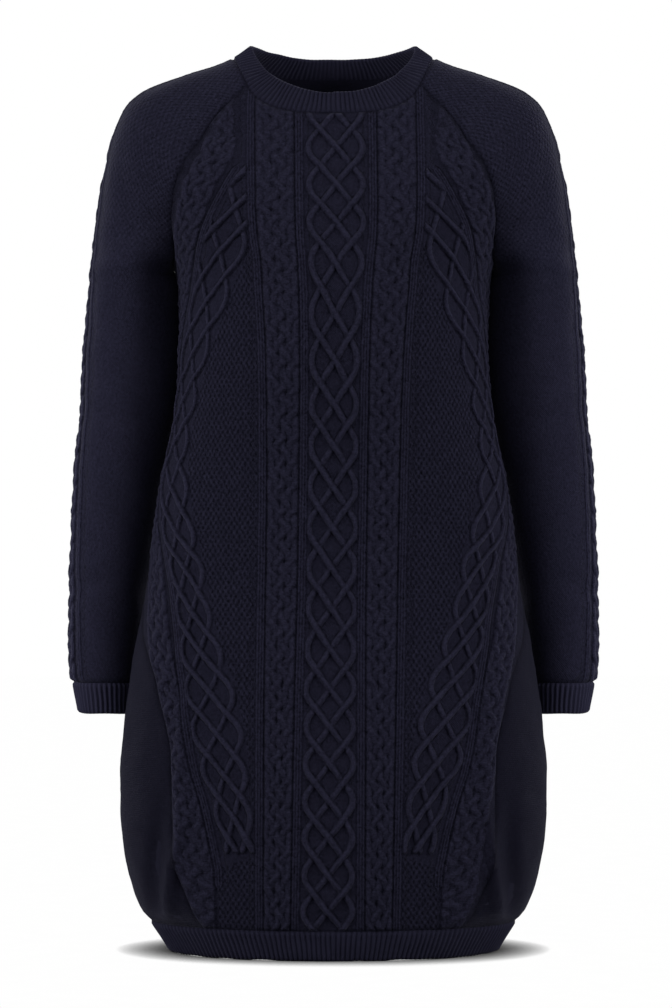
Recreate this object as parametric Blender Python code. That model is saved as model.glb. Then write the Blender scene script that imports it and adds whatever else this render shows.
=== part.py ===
"""Cable-knit sweater dress with raglan sleeves and a cocoon skirt, filled out as if worn.

Metres, +Z up. The front faces -Y and the wearer's left is +X. The origin is in the middle of
the neck, level with the tops of the shoulders. Each panel is a thin wall: its outer face
carries the cables as raised ridges, its inner face is plain.
"""
import math
from collections import namedtuple

import bpy
import numpy as np
from mathutils import Vector
from mathutils.geometry import delaunay_2d_cdt

# ---------------------------------------------------------------- driving sizes
WALL = 0.0024             # thickness of the knitted cloth between its cables
SEAM_GAP = 0.0003         # what is left open between two pieces at a seam
HEM_SEAM = -0.8580        # height where the panels meet the hem rib
HEM_EDGE = -0.8870        # lowest edge of the hem rib
CUFF_EDGE = -0.6545       # lowest edge of the cuffs
NECK_RIB = 0.0043         # one knit and one purl column of the neckband
CUFF_RIB = 0.0050         # the same for the cuffs
HEM_RIB = 0.0060          # and for the hem
RIB_RISE = 0.0014         # how far a knit column stands over the purl one
SQUARE = 0.94             # exponent of the body's sections: 1 is an ellipse, less is squarer

# Relief of the cables
BRAID_LANE = 0.0070       # width of one strand of the five-strand braid
BRAID_PERIOD = 0.0245     # height of one full turn of the braid
BRAID_RISE = 0.0026
SIDE_DIAMOND = 0.0400     # height of one diamond of the side lattices
LATTICE_RISE = 0.0033
RIB_LINE_RISE = 0.0016
RIB_LINE_HALF = 0.0040
RELIEF_MARGIN = 0.0050    # cables stop this far from a panel's edge

SLEEVE_BRAID_PERIOD = 0.0300

# Spacing of the points where the cloth is plain: round the form and along it
PLAIN_STEP = (0.022, 0.034)
INNER_STEP = (0.027, 0.042)
SLEEVE_STEP = (0.0165, 0.034)
SLEEVE_INNER_STEP = (0.0190, 0.044)
EDGE_STEP = 0.024

# ---------------------------------------------------------------- tables
# Sections of the body, from the neck down. front, back: Y at centre front and centre back;
# widest: Y where the section is widest.
BodyRow = namedtuple("BodyRow", "z half_width front back widest")
BODY = (
    BodyRow(+0.020, 0.098, -0.052, 0.060, 0.000),
    BodyRow(-0.005, 0.115, -0.057, 0.070, 0.000),
    BodyRow(-0.030, 0.134, -0.063, 0.077, 0.000),
    BodyRow(-0.060, 0.163, -0.073, 0.084, 0.000),
    BodyRow(-0.085, 0.186, -0.083, 0.090, 0.000),
    BodyRow(-0.110, 0.198, -0.093, 0.094, 0.000),
    BodyRow(-0.130, 0.195, -0.100, 0.096, 0.000),
    BodyRow(-0.150, 0.186, -0.106, 0.097, 0.000),
    BodyRow(-0.170, 0.177, -0.110, 0.098, 0.001),
    BodyRow(-0.190, 0.168, -0.114, 0.098, 0.005),
    BodyRow(-0.212, 0.160, -0.117, 0.098, 0.010),
    BodyRow(-0.240, 0.1545, -0.120, 0.096, 0.006),
    BodyRow(-0.300, 0.1530, -0.123, 0.092, -0.003),
    BodyRow(-0.360, 0.1580, -0.120, 0.086, -0.008),
    BodyRow(-0.420, 0.1705, -0.116, 0.082, -0.011),
    BodyRow(-0.480, 0.1790, -0.117, 0.083, -0.012),
    BodyRow(-0.540, 0.1885, -0.121, 0.090, -0.012),
    BodyRow(-0.600, 0.2000, -0.127, 0.098, -0.012),
    BodyRow(-0.660, 0.2080, -0.132, 0.104, -0.012),
    BodyRow(-0.710, 0.2125, -0.134, 0.106, -0.012),
    BodyRow(-0.745, 0.2125, -0.134, 0.105, -0.012),
    BodyRow(-0.780, 0.2098, -0.132, 0.103, -0.012),
    BodyRow(-0.810, 0.2042, -0.129, 0.100, -0.012),
    BodyRow(-0.835, 0.1965, -0.126, 0.097, -0.012),
    BodyRow(-0.848, 0.1905, -0.124, 0.095, -0.012),
    BodyRow(-0.858, 0.1815, -0.1225, 0.0935, -0.012),
    BodyRow(-0.870, 0.1712, -0.1210, 0.0920, -0.012),
    BodyRow(-0.880, 0.1655, -0.1200, 0.0910, -0.012),
    BodyRow(-0.892, 0.1620, -0.1190, 0.0900, -0.012),
)

# The seam between front and back, as an angle round the body from centre front.
SideSeamRow = namedtuple("SideSeamRow", "z turn")
SIDE_SEAM = (
    SideSeamRow(-0.212, 90), SideSeamRow(-0.250, 93), SideSeamRow(-0.310, 101),
    SideSeamRow(-0.380, 110), SideSeamRow(-0.440, 111), SideSeamRow(-0.490, 105),
    SideSeamRow(-0.530, 92), SideSeamRow(-0.552, 82), SideSeamRow(-0.573, 74.5),
    SideSeamRow(-0.597, 64.5), SideSeamRow(-0.615, 59), SideSeamRow(-0.637, 55),
    SideSeamRow(-0.663, 50.5), SideSeamRow(-0.690, 47.5), SideSeamRow(-0.730, 46.7),
    SideSeamRow(-0.770, 46.7), SideSeamRow(-0.800, 46.5), SideSeamRow(-0.833, 44.5),
    SideSeamRow(-0.858, 43),
)

# Rows of the sleeve's cap, from the neck to the underarm. top: the line over the shoulder and
# down the outside of the arm; front, back: the raglan seams; axis_y: Y of the top line;
# open: how far round each half of a row reaches, 180 being a closed ring;
# depth: half the arm's thickness, in front of and behind the axis.
CapRow = namedtuple("CapRow", "top_x top_z axis_y front_x front_z front_open front_depth"
                              " back_x back_z back_open back_depth")
CAP = (
    CapRow(0.0998, +0.0011, 0.003, 0.0855, -0.0288, 58, 0.0621, 0.0820, -0.0040, 60, 0.0550),
    CapRow(0.1314, -0.0106, 0.004, 0.1005, -0.0450, 62, 0.0630, 0.1000, -0.0280, 62, 0.0550),
    CapRow(0.1683, -0.0222, 0.005, 0.1180, -0.0640, 66, 0.0655, 0.1185, -0.0520, 66, 0.0560),
    CapRow(0.1924, -0.0336, 0.006, 0.1290, -0.0820, 69, 0.0714, 0.1320, -0.0740, 69, 0.0590),
    CapRow(0.2063, -0.0459, 0.006, 0.1412, -0.0980, 72, 0.0729, 0.1430, -0.0930, 72, 0.0605),
    CapRow(0.2134, -0.0578, 0.006, 0.1490, -0.1120, 75, 0.0731, 0.1505, -0.1090, 76, 0.0600),
    CapRow(0.2206, -0.0762, 0.006, 0.1549, -0.1270, 79, 0.0710, 0.1560, -0.1250, 88, 0.0560),
    CapRow(0.2284, -0.1105, 0.007, 0.1585, -0.1460, 85, 0.0672, 0.1600, -0.1450, 110, 0.0530),
    CapRow(0.2336, -0.1402, 0.008, 0.1603, -0.1630, 92, 0.0611, 0.1612, -0.1630, 126, 0.0510),
    CapRow(0.2375, -0.1700, 0.010, 0.1590, -0.1800, 106, 0.0578, 0.1603, -0.1800, 140, 0.0500),
    CapRow(0.2409, -0.1980, 0.011, 0.1575, -0.1970, 128, 0.0550, 0.1580, -0.1970, 152, 0.0500),
    CapRow(0.2424, -0.2120, 0.010, 0.1600, -0.2120, 180, 0.0505, 0.1600, -0.2120, 180, 0.0500),
)

# Rings of the arm below the underarm, down to the end of the cuff.
ArmRow = namedtuple("ArmRow", "z outer inner axis_y front_depth back_depth")
ARM = (
    ArmRow(-0.2400, 0.2451, 0.1562, 0.022, 0.0500, 0.0490),
    ArmRow(-0.3000, 0.2508, 0.1520, 0.029, 0.0485, 0.0475),
    ArmRow(-0.3600, 0.2555, 0.1570, 0.031, 0.0470, 0.0460),
    ArmRow(-0.4200, 0.2606, 0.1680, 0.035, 0.0455, 0.0445),
    ArmRow(-0.4800, 0.2634, 0.1775, 0.037, 0.0440, 0.0430),
    ArmRow(-0.5400, 0.2658, 0.1870, 0.040, 0.0420, 0.0410),
    ArmRow(-0.5900, 0.2660, 0.1920, 0.042, 0.0400, 0.0390),
    ArmRow(-0.6140, 0.2648, 0.1945, 0.043, 0.0385, 0.0375),
    ArmRow(-0.6235, 0.2630, 0.1957, 0.043, 0.0365, 0.0360),
    ArmRow(-0.6330, 0.2608, 0.1966, 0.043, 0.0350, 0.0345),
    ArmRow(-0.6580, 0.2572, 0.1975, 0.043, 0.0335, 0.0330),
)
CUFF_SEAM_ROW = len(CAP) + 8          # the ring where the sleeve meets its cuff

# Neck: the seam where the panels end, and the band's upper edge
NECK_SEAM_HALF = 0.0885   # half width of the front neck curve
NECK_SEAM_DROP = 0.0600   # its depth below the origin at centre front
NECK_SEAM_POWER = 3.0     # its squareness
BACK_NECK_DROP = 0.0120   # depth of the back neck curve at centre back
BAND_HALF = 0.0812        # half width of the neck opening
BAND_FRONT = -0.0625      # Y of the band's edge at centre front
BAND_BACK = 0.0660        # Y of the band's edge at centre back
BAND_BACK_Z = 0.0080      # height of the band's edge at centre back
BAND_SIDE_RISE = 0.0098   # how much higher it is at the sides
BAND_FRONT_DROP = 0.0467  # how far it falls from centre back to centre front
BAND_BLEND = 0.20         # softness of the change from the level back to the falling front

# Bands of stitches on the front. centre: distance from centre front along the cloth.
BandRow = namedtuple("BandRow", "z centre")
INNER_BRAID = (BandRow(-0.040, 0.0600), BandRow(-0.100, 0.0590), BandRow(-0.200, 0.0530),
               BandRow(-0.280, 0.0500), BandRow(-0.340, 0.0490), BandRow(-0.858, 0.0490))
INNER_LINE = (BandRow(-0.040, 0.0315), BandRow(-0.250, 0.0310), BandRow(-0.858, 0.0300))
OUTER_LINE = (BandRow(-0.040, 0.0825), BandRow(-0.200, 0.0822), BandRow(-0.340, 0.0735),
              BandRow(-0.858, 0.0720))
SIDE_LINE = (BandRow(-0.110, 0.092), BandRow(-0.132, 0.106), BandRow(-0.163, 0.125),
             BandRow(-0.195, 0.142), BandRow(-0.233, 0.160), BandRow(-0.277, 0.182),
             BandRow(-0.340, 0.205), BandRow(-0.400, 0.211), BandRow(-0.450, 0.201),
             BandRow(-0.505, 0.176), BandRow(-0.550, 0.164), BandRow(-0.590, 0.1575),
             BandRow(-0.635, 0.1495), BandRow(-0.673, 0.1440), BandRow(-0.702, 0.1380),
             BandRow(-0.740, 0.1260), BandRow(-0.770, 0.1190), BandRow(-0.800, 0.1130))
SIDE_BRAID = (BandRow(-0.080, 0.108), BandRow(-0.100, 0.116), BandRow(-0.130, 0.134),
              BandRow(-0.163, 0.150), BandRow(-0.195, 0.166), BandRow(-0.233, 0.184),
              BandRow(-0.277, 0.205), BandRow(-0.340, 0.228), BandRow(-0.400, 0.234),
              BandRow(-0.450, 0.224), BandRow(-0.505, 0.201), BandRow(-0.550, 0.190),
              BandRow(-0.590, 0.181), BandRow(-0.635, 0.167), BandRow(-0.700, 0.156),
              BandRow(-0.740, 0.147), BandRow(-0.770, 0.141), BandRow(-0.800, 0.134),
              BandRow(-0.858, 0.113))
LatticeRow = namedtuple("LatticeRow", "z centre half_width")
SIDE_LATTICE = (LatticeRow(-0.110, 0.0900, 0.004), LatticeRow(-0.132, 0.0960, 0.009),
                LatticeRow(-0.163, 0.1050, 0.016), LatticeRow(-0.195, 0.1150, 0.022),
                LatticeRow(-0.247, 0.1370, 0.025), LatticeRow(-0.297, 0.1600, 0.025),
                LatticeRow(-0.343, 0.1750, 0.025), LatticeRow(-0.390, 0.1820, 0.024),
                LatticeRow(-0.450, 0.1720, 0.023), LatticeRow(-0.505, 0.1520, 0.019),
                LatticeRow(-0.550, 0.1420, 0.018), LatticeRow(-0.590, 0.1320, 0.021),
                LatticeRow(-0.626, 0.1230, 0.024), LatticeRow(-0.665, 0.1150, 0.025),
                LatticeRow(-0.700, 0.1100, 0.024), LatticeRow(-0.740, 0.1030, 0.019),
                LatticeRow(-0.800, 0.0960, 0.016))
CENTRE_LATTICE = (LatticeRow(-0.060, 0.0, 0.0255), LatticeRow(-0.858, 0.0, 0.0255))
# Heights at which the centre lattice's two middle strands cross, counted in diamonds.
TurnRow = namedtuple("TurnRow", "turns z")
CENTRE_TURNS = (TurnRow(-1, -0.0575), TurnRow(0, -0.0954), TurnRow(2, -0.1706),
                TurnRow(3, -0.2105), TurnRow(4, -0.2590), TurnRow(5, -0.3054),
                TurnRow(7, -0.3877), TurnRow(10, -0.5059), TurnRow(13, -0.6226),
                TurnRow(16, -0.7304), TurnRow(19, -0.8382), TurnRow(20, -0.8730))
INNER_BRAID_SPAN = (-0.052, -0.850)
SIDE_LATTICE_SPAN = (-0.150, -0.800)
SIDE_BRAID_SPAN = (-0.078, -0.850)
SIDE_LINE_SPAN = (-0.125, -0.795)
SLEEVE_LINE = 0.0240      # the rib lines beside the sleeve's braid, from its middle
# Middle of the sleeve's braid, from the top line towards the back, by distance from the neck.
SleeveBandRow = namedtuple("SleeveBandRow", "down centre")
SLEEVE_BRAID = (SleeveBandRow(0.0, 0.026), SleeveBandRow(0.10, 0.022),
                SleeveBandRow(0.18, 0.015), SleeveBandRow(0.30, 0.006),
                SleeveBandRow(0.45, 0.000), SleeveBandRow(0.72, -0.007))
RAGLAN_SAMPLES = 15

NAVY = (0.012, 0.013, 0.027, 1.0)


# ---------------------------------------------------------------- curves through tables
def smooth(knots, values, at):
    """Monotone cubic through (knots, values), which are in rising order of knots."""
    knots = np.asarray(knots, float)
    values = np.asarray(values, float)
    step = np.diff(knots)
    slope = np.diff(values) / step
    tangent = np.zeros_like(values)
    tangent[0], tangent[-1] = slope[0], slope[-1]
    before, after = slope[:-1], slope[1:]
    same = before * after > 0
    weight_a = (2 * step[1:] + step[:-1])[same]
    weight_b = (step[1:] + 2 * step[:-1])[same]
    mean = (weight_a + weight_b) / (weight_a / before[same] + weight_b / after[same])
    tangent[1:-1][same] = mean
    at = np.clip(np.asarray(at, float), knots[0], knots[-1])
    i = np.clip(np.searchsorted(knots, at) - 1, 0, len(step) - 1)
    t = (at - knots[i]) / step[i]
    ease = t * t * (3 - 2 * t)
    return (values[i] * (1 - ease) + values[i + 1] * ease
            + step[i] * tangent[i] * t * (1 - t) ** 2
            - step[i] * tangent[i + 1] * t * t * (1 - t))


def column(table, name):
    return np.array([getattr(row, name) for row in table], float)


def down(table, name, z):
    """Value of a column at height z, in a table that runs from top to bottom."""
    return smooth(column(table, "z")[::-1], column(table, name)[::-1], z)


def powered(value, power):
    return np.sign(value) * np.abs(value) ** power


# ---------------------------------------------------------------- the body's outer face
def body(turn, z):
    """Point on the body at an angle from centre front (towards +X) and a height."""
    z = np.asarray(z, float)
    half = down(BODY, "half_width", z)
    widest = down(BODY, "widest", z)
    ahead = np.cos(turn)
    reach = np.where(ahead > 0, widest - down(BODY, "front", z), down(BODY, "back", z) - widest)
    x = half * powered(np.sin(turn), SQUARE)
    y = widest - reach * powered(ahead, SQUARE)
    return np.stack([x, y, z + 0 * x], axis=-1)


class ClothMap:
    """Distances along a surface, measured across its rows from where `across` is zero."""

    def __init__(self, point, across_max, along):
        self.along = along
        self.steps = np.linspace(0, 1, 241)
        across = across_max[:, None] * self.steps[None, :]
        points = point(across, np.repeat(along[:, None], len(self.steps), axis=1))
        lengths = np.linalg.norm(np.diff(points, axis=1), axis=2)
        self.walked = np.concatenate([np.zeros((len(along), 1)), np.cumsum(lengths, axis=1)], 1)
        self.across = across

    def _mix(self, along, read):
        along = float(np.clip(along, self.along[0], self.along[-1]))
        i = int(np.clip(np.searchsorted(self.along, along) - 1, 0, len(self.along) - 2))
        t = (along - self.along[i]) / (self.along[i + 1] - self.along[i])
        return (1 - t) * read(i) + t * read(i + 1)

    def across_at(self, distance, along):
        return self._mix(along, lambda i: np.interp(distance, self.walked[i], self.across[i]))

    def distance_at(self, across, along):
        return self._mix(along, lambda i: np.interp(across, self.across[i], self.walked[i]))


BODY_HEIGHTS = np.linspace(BODY[-1].z, BODY[0].z, 300)
BODY_MAP = ClothMap(body, np.full(len(BODY_HEIGHTS), math.pi), BODY_HEIGHTS)


def on_front(u, z):
    """Point at distance u from centre front along the cloth."""
    turn = BODY_MAP.across_at(abs(u), z)
    return body(math.copysign(turn, u), z)


def on_back(u, z):
    """Point at distance u from centre back along the cloth, u rising towards -X."""
    girth = BODY_MAP.distance_at(math.pi, z)
    turn = BODY_MAP.across_at(girth - abs(u), z)
    return body(math.copysign(turn, -u), z)


# ---------------------------------------------------------------- the sleeve's outer face
def turn_of(x, z):
    """Angle from centre front, or from centre back, where the body has this X."""
    ratio = np.clip(x / down(BODY, "half_width", z), 0, 1)
    return np.arcsin(ratio ** (1 / SQUARE))


CAP_END = len(CAP) - 1
ROW_KNOTS = np.arange(len(CAP) + len(ARM), dtype=float)
TOP_X = np.concatenate([column(CAP, "top_x"), column(ARM, "outer")])
TOP_Z = np.concatenate([column(CAP, "top_z"), column(ARM, "z")])
AXIS_Y = np.concatenate([column(CAP, "axis_y"), column(ARM, "axis_y")])
DEPTH = {side: np.concatenate([column(CAP, side + "_depth"), column(ARM, side + "_depth")])
         for side in ("front", "back")}
SEAM_TURN = {"front": turn_of(column(CAP, "front_x"), column(CAP, "front_z")),
             "back": math.pi - turn_of(column(CAP, "back_x"), column(CAP, "back_z"))}


def raglan(side, row):
    """Point on a raglan seam at a row of the cap, and below the underarm on the arm's
    inner side."""
    cap_knots = ROW_KNOTS[:CAP_END + 1]
    cap_row = np.minimum(row, CAP_END)
    z = smooth(cap_knots, column(CAP, side + "_z"), cap_row)
    seam = body(smooth(cap_knots, SEAM_TURN[side], cap_row), z)
    inner_x = np.concatenate([[CAP[-1].front_x], column(ARM, "inner")])
    arm = np.stack([smooth(ROW_KNOTS[CAP_END:], inner_x, row), smooth(ROW_KNOTS, AXIS_Y, row),
                    smooth(ROW_KNOTS, TOP_Z, row)], axis=-1)
    return np.where((np.asarray(row) <= CAP_END)[..., None], seam, arm)


def sleeve(around, row):
    """Point of the +X sleeve. around: -1 at the front seam, 0 on the top line, 1 at the back."""
    around, row = np.broadcast_arrays(np.asarray(around, float), np.asarray(row, float))
    top = np.stack([smooth(ROW_KNOTS, TOP_X, row), smooth(ROW_KNOTS, AXIS_Y, row),
                    smooth(ROW_KNOTS, TOP_Z, row)], axis=-1)
    result = np.zeros(top.shape)
    for side, sign in (("front", -1), ("back", 1)):
        seam = raglan(side, row)
        opening = np.concatenate([column(CAP, side + "_open"), np.full(len(ARM), 180.0)])
        opening = np.radians(smooth(ROW_KNOTS, opening, row))
        depth = smooth(ROW_KNOTS, DEPTH[side], row)
        outward = top - seam
        width = np.hypot(outward[..., 0], outward[..., 2])
        semi = width / (1 - np.cos(opening))
        part = np.abs(around)
        angle = part * opening
        along = (width - semi + semi * np.cos(angle)) / width
        miss = seam[..., 1] - (top[..., 1] + sign * depth * np.sin(opening))
        y = top[..., 1] + sign * depth * np.sin(angle) + miss * part ** 2
        point = np.stack([seam[..., 0] + along * outward[..., 0], y,
                          seam[..., 2] + along * outward[..., 2]], axis=-1)
        chosen = (around <= 0) if sign < 0 else (around > 0)
        result = np.where(chosen[..., None], point, result)
    return result


SLEEVE_ROWS = np.linspace(0, ROW_KNOTS[-1], 260)
SLEEVE_TOP = sleeve(0.0, SLEEVE_ROWS)
SLEEVE_LENGTHS = np.concatenate([[0], np.cumsum(np.linalg.norm(np.diff(SLEEVE_TOP, axis=0),
                                                               axis=1))])
SLEEVE_MAPS = {side: ClothMap(sleeve, np.full(len(SLEEVE_ROWS), sign), SLEEVE_ROWS)
               for side, sign in (("front", -1.0), ("back", 1.0))}


def sleeve_row(v):
    """Row at a distance v down the sleeve's top line."""
    return float(np.interp(v, SLEEVE_LENGTHS, SLEEVE_ROWS))


def sleeve_length(row):
    return float(np.interp(row, SLEEVE_ROWS, SLEEVE_LENGTHS))


def sleeve_reach(side, row):
    """Distance along the cloth from the top line to the seam or the arm's inner side."""
    return float(SLEEVE_MAPS[side].walked[:, -1][0] if row <= 0 else
                 np.interp(row, SLEEVE_ROWS, SLEEVE_MAPS[side].walked[:, -1]))


def on_sleeve(u, v):
    """Point of the +X sleeve: u from the top line, rising to the back, v down from the neck."""
    row = sleeve_row(v)
    side = "front" if u < 0 else "back"
    part = abs(u) / sleeve_reach(side, row)
    walked = SLEEVE_MAPS[side]
    along = walked._mix(row, lambda i: np.interp(part * walked.walked[i, -1],
                                                 walked.walked[i], walked.steps))
    return sleeve(math.copysign(along, u) if u else 0.0, row)


# ---------------------------------------------------------------- walls
def normal_at(place, u, v, step=0.0008):
    """Outward unit normal of a surface whose u runs to the right and v up, seen from outside."""
    across = place(u + step, v) - place(u - step, v)
    up = place(u, v + step) - place(u, v - step)
    normal = np.cross(across, up)
    return normal / np.linalg.norm(normal)


def lifted(place, u, v, height):
    return place(u, v) + normal_at(place, u, v) * height


def triangulate(outline, points, ridges):
    """Triangles of a flat pattern with a closed outline, points inside and ridge lines."""
    count = len(outline)
    flat = [Vector(p) for p in list(outline) + list(points)]
    edges = [(i, (i + 1) % count) for i in range(count)]
    edges += [(a + count, b + count) for a, b in ridges]
    _, _, faces, originals, _, _ = delaunay_2d_cdt(flat, edges, [list(range(count))], 1, 1e-6)
    return [tuple(originals[i][0] for i in face) for face in faces]


def make_object(name, points, faces, collection):
    mesh = bpy.data.meshes.new(name)
    mesh.from_pydata([tuple(p) for p in points], [], faces)
    mesh.validate()
    mesh.shade_smooth()
    mesh.set_sharp_from_angle(angle=math.radians(30))
    piece = bpy.data.objects.new(name, mesh)
    material = bpy.data.materials.new(name + "_wool")
    material.use_nodes = True
    shader = material.node_tree.nodes["Principled BSDF"]
    shader.inputs["Base Color"].default_value = NAVY
    shader.inputs["Roughness"].default_value = 0.9
    shader.inputs["Metallic"].default_value = 0.0
    mesh.materials.append(material)
    collection.objects.link(piece)
    return piece


def point_key(point, tolerance=1e-6):
    return tuple(np.round(np.asarray(point) / tolerance).astype(int))


def welded(points, faces):
    """Points that lie on each other become one, as along a sleeve's underarm."""
    seen, index, kept = {}, [], []
    for point in points:
        key = point_key(point)
        if key not in seen:
            seen[key] = len(kept)
            kept.append(point)
        index.append(seen[key])
    faces = [tuple(index[i] for i in face) for face in faces]
    return kept, [face for face in faces if len(set(face)) == 3]


def open_edges(faces):
    """Edges that only one face has, in that face's direction."""
    directed = {(face[i], face[(i + 1) % 3]) for face in faces for i in range(3)}
    return [(a, b) for a, b in directed if (b, a) not in directed]


def edge_normals(points, normals):
    """One shared normal for edge points that lie on each other."""
    total = {}
    for point, normal in zip(points, normals):
        total[point_key(point)] = total.get(point_key(point), 0) + normal
    return [total[point_key(point)] / np.linalg.norm(total[point_key(point)]) for point in points]


def shell(place, outline, relief, plain, outward, seams):
    """Closed wall from a flat pattern: the relief's points outside, the plain ones inside.

    outward is 1 where u, v and the outward normal are right-handed, else -1. seams gives the
    normal of each outline point that shares it with its neighbour, else None.
    """
    points, heights, ridges = relief
    outer_faces = triangulate(outline, points, ridges)
    inner_faces = triangulate(outline, plain, [])
    edge = [place(u, v) for u, v in outline]
    normals = [outward * normal_at(place, u, v) if seam is None else seam
               for (u, v), seam in zip(outline, seams)]
    normals = edge_normals(edge, normals)
    outer = edge + [place(u, v) + outward * normal_at(place, u, v) * h
                    for (u, v), h in zip(points, heights)]
    inner = [point - normal * WALL for point, normal in zip(edge, normals)]
    inner += [place(u, v) - outward * normal_at(place, u, v) * WALL for u, v in plain]
    outer, outer_faces = welded(outer, outer_faces)
    inner, inner_faces = welded(inner, inner_faces)
    if outward < 0:
        outer_faces = [face[::-1] for face in outer_faces]
        inner_faces = [face[::-1] for face in inner_faces]
    shift = len(outer)
    faces = list(outer_faces)
    faces += [tuple(i + shift for i in face[::-1]) for face in inner_faces]
    # The outline's points come first in both skins, so the rim joins equal indices.
    for a, b in sorted(open_edges(outer_faces)):
        faces.append((b, a, a + shift))
        faces.append((b, a + shift, b + shift))
    return outer + inner, faces


def mirrored(points, faces):
    return [(-p[0], p[1], p[2]) for p in points], [face[::-1] for face in faces]


# ---------------------------------------------------------------- patterns of points
def distance_to(outline, point):
    """Distance from a point to a closed outline, negative outside it."""
    here = np.array(outline)
    there = np.roll(here, -1, axis=0)
    edge = there - here
    t = np.clip(np.sum((point - here) * edge, 1) / np.sum(edge * edge, 1), 0, 1)
    nearest = np.min(np.linalg.norm(here + edge * t[:, None] - point, axis=1))
    crosses = (here[:, 1] > point[1]) != (there[:, 1] > point[1])
    with np.errstate(divide="ignore", invalid="ignore"):
        cut = here[:, 0] + (point[1] - here[:, 1]) * edge[:, 0] / edge[:, 1]
    inside = np.count_nonzero(crosses & (point[0] < cut)) % 2 == 1
    return nearest if inside else -nearest


def crossing(a, b, starts, ends):
    """Whether the segment a-b crosses any of the segments starts-ends."""
    def side(p, q, r):
        return (q[..., 0] - p[..., 0]) * (r[..., 1] - p[..., 1]) \
            - (q[..., 1] - p[..., 1]) * (r[..., 0] - p[..., 0])
    apart = side(starts, ends, a[None]) * side(starts, ends, b[None]) < 0
    return bool(np.any(apart & (side(a[None], b[None], starts) * side(a[None], b[None], ends) < 0)))


class Relief:
    """Raised points of a panel, the ridges between them and the ground they cover."""

    def __init__(self, outline, margin=RELIEF_MARGIN):
        self.outline = outline
        self.margin = margin
        self.points, self.heights, self.ridges, self.names = [], [], [], {}

    def point(self, u, v, height, name=None, reach=0.0035):
        if distance_to(self.outline, np.array([u, v])) < self.margin:
            return
        if not self.clear_of(u, v, reach):
            return
        if name is not None:
            self.names[name] = len(self.points)
        self.points.append((u, v))
        self.heights.append(height)

    def ridge(self, a, b):
        """Ridge line between two named points, left out where it would cross another."""
        if a not in self.names or b not in self.names:
            return
        i, j = self.names[a], self.names[b]
        spots = np.array(self.points)
        if self.ridges:
            starts, ends = spots[np.array(self.ridges)].transpose(1, 0, 2)
            if crossing(spots[i], spots[j], starts, ends):
                return
        self.ridges.append((i, j))

    def clear_of(self, u, v, reach):
        if not self.points:
            return True
        away = np.array(self.points) - (u, v)
        return np.min(np.hypot(away[:, 0], away[:, 1])) > reach

    def parts(self):
        return self.points, self.heights, self.ridges


def braid(relief, name, middle, span, period=BRAID_PERIOD, side=1):
    """Five-strand braid: strands cross in turn on alternate lanes. side mirrors the lanes."""
    rows = int(abs(span[1] - span[0]) / (period / 2))
    way = math.copysign(period / 2, span[1] - span[0])
    for row in range(rows + 1):
        v = span[0] + row * way
        for lane in range(6):
            raised = (lane + row) % 2 == 1
            height = BRAID_RISE if raised else 0.2 * BRAID_RISE
            if lane in (0, 5):
                height *= 0.6
            u = middle(v) + side * (lane - 2.5) * BRAID_LANE
            relief.point(u, v, height, (name, row, lane))
    for row in range(rows):
        for lane in range(6):
            for other in (lane - 1, lane + 1):
                if (lane + row) % 2 == 1:
                    relief.ridge((name, row, lane), (name, row + 1, other))


def lattice(relief, name, middle, half, height_of, turns):
    """Four strands that cross over each other in open diamonds, a number of diamonds high."""
    crests = {0: (-3.6, 0, 3.6), 1: (-3, -1, 1, 3), 2: (-2, 2), 3: (-3, -1, 1, 3)}
    floors = {0: (-5, -2, 2, 5), 1: (), 2: (-4.4, 0, 4.4), 3: ()}
    rows = range(round(4 * turns[0]), round(4 * turns[1]) + 1)
    for row in rows:
        v = height_of(row / 4)
        lane = half(v) / 3.6
        for place in crests[row % 4]:
            height = LATTICE_RISE if place in (0, -2, 2) else 0.85 * LATTICE_RISE
            relief.point(middle(v) + place * lane, v, height, (name, row, place))
        for place in floors[row % 4]:
            relief.point(middle(v) + place * lane, v, 0.0)
    for row in rows[:-1]:
        for here in crests[row % 4]:
            for there in crests[(row + 1) % 4]:
                if abs(there - here) <= 1.01:
                    relief.ridge((name, row, here), (name, row + 1, there))


def rib_line(relief, name, middle, span, step=0.045):
    """Narrow raised column with flat ground on both sides."""
    rows = max(2, round(abs(span[1] - span[0]) / step))
    for row in range(rows + 1):
        v = span[0] + (span[1] - span[0]) * row / rows
        relief.point(middle(v), v, RIB_LINE_RISE, (name, row, 0))
        for side in (-1, 1):
            relief.point(middle(v) + side * RIB_LINE_HALF, v, 0.0, (name, row, side))
    for row in range(rows):
        for side in (-1, 0, 1):
            relief.ridge((name, row, side), (name, row + 1, side))


def plain_ground(relief, step, u_span, v_span, reach):
    """Points of height 0 on an even grid, wherever no relief is near."""
    found = []
    columns = max(1, round((u_span[1] - u_span[0]) / step[0]))
    rows = max(1, round(abs(v_span[1] - v_span[0]) / step[1]))
    for row in range(rows + 1):
        for col in range(columns + 1):
            u = u_span[0] + (u_span[1] - u_span[0]) * col / columns
            v = v_span[0] + (v_span[1] - v_span[0]) * row / rows
            inside = distance_to(relief.outline, np.array([u, v])) > 0.4 * step[0]
            if inside and relief.clear_of(u, v, reach):
                found.append((u, v))
    return found


def inset(outline, amount):
    """The outline with every corner moved inwards."""
    here = np.array(outline)
    before = here - np.roll(here, 1, axis=0)
    after = np.roll(here, -1, axis=0) - here
    area = np.sum(here[:, 0] * np.roll(here[:, 1], -1) - np.roll(here[:, 0], -1) * here[:, 1])
    turned = []
    for edge in (before, after):
        side = np.stack([-edge[:, 1], edge[:, 0]], 1) * math.copysign(1, area)
        turned.append(side / np.linalg.norm(side, axis=1)[:, None])
    middle = turned[0] + turned[1]
    middle /= np.sum(middle * turned[0], 1)[:, None]
    return [tuple(p) for p in here + middle * amount]


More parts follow.
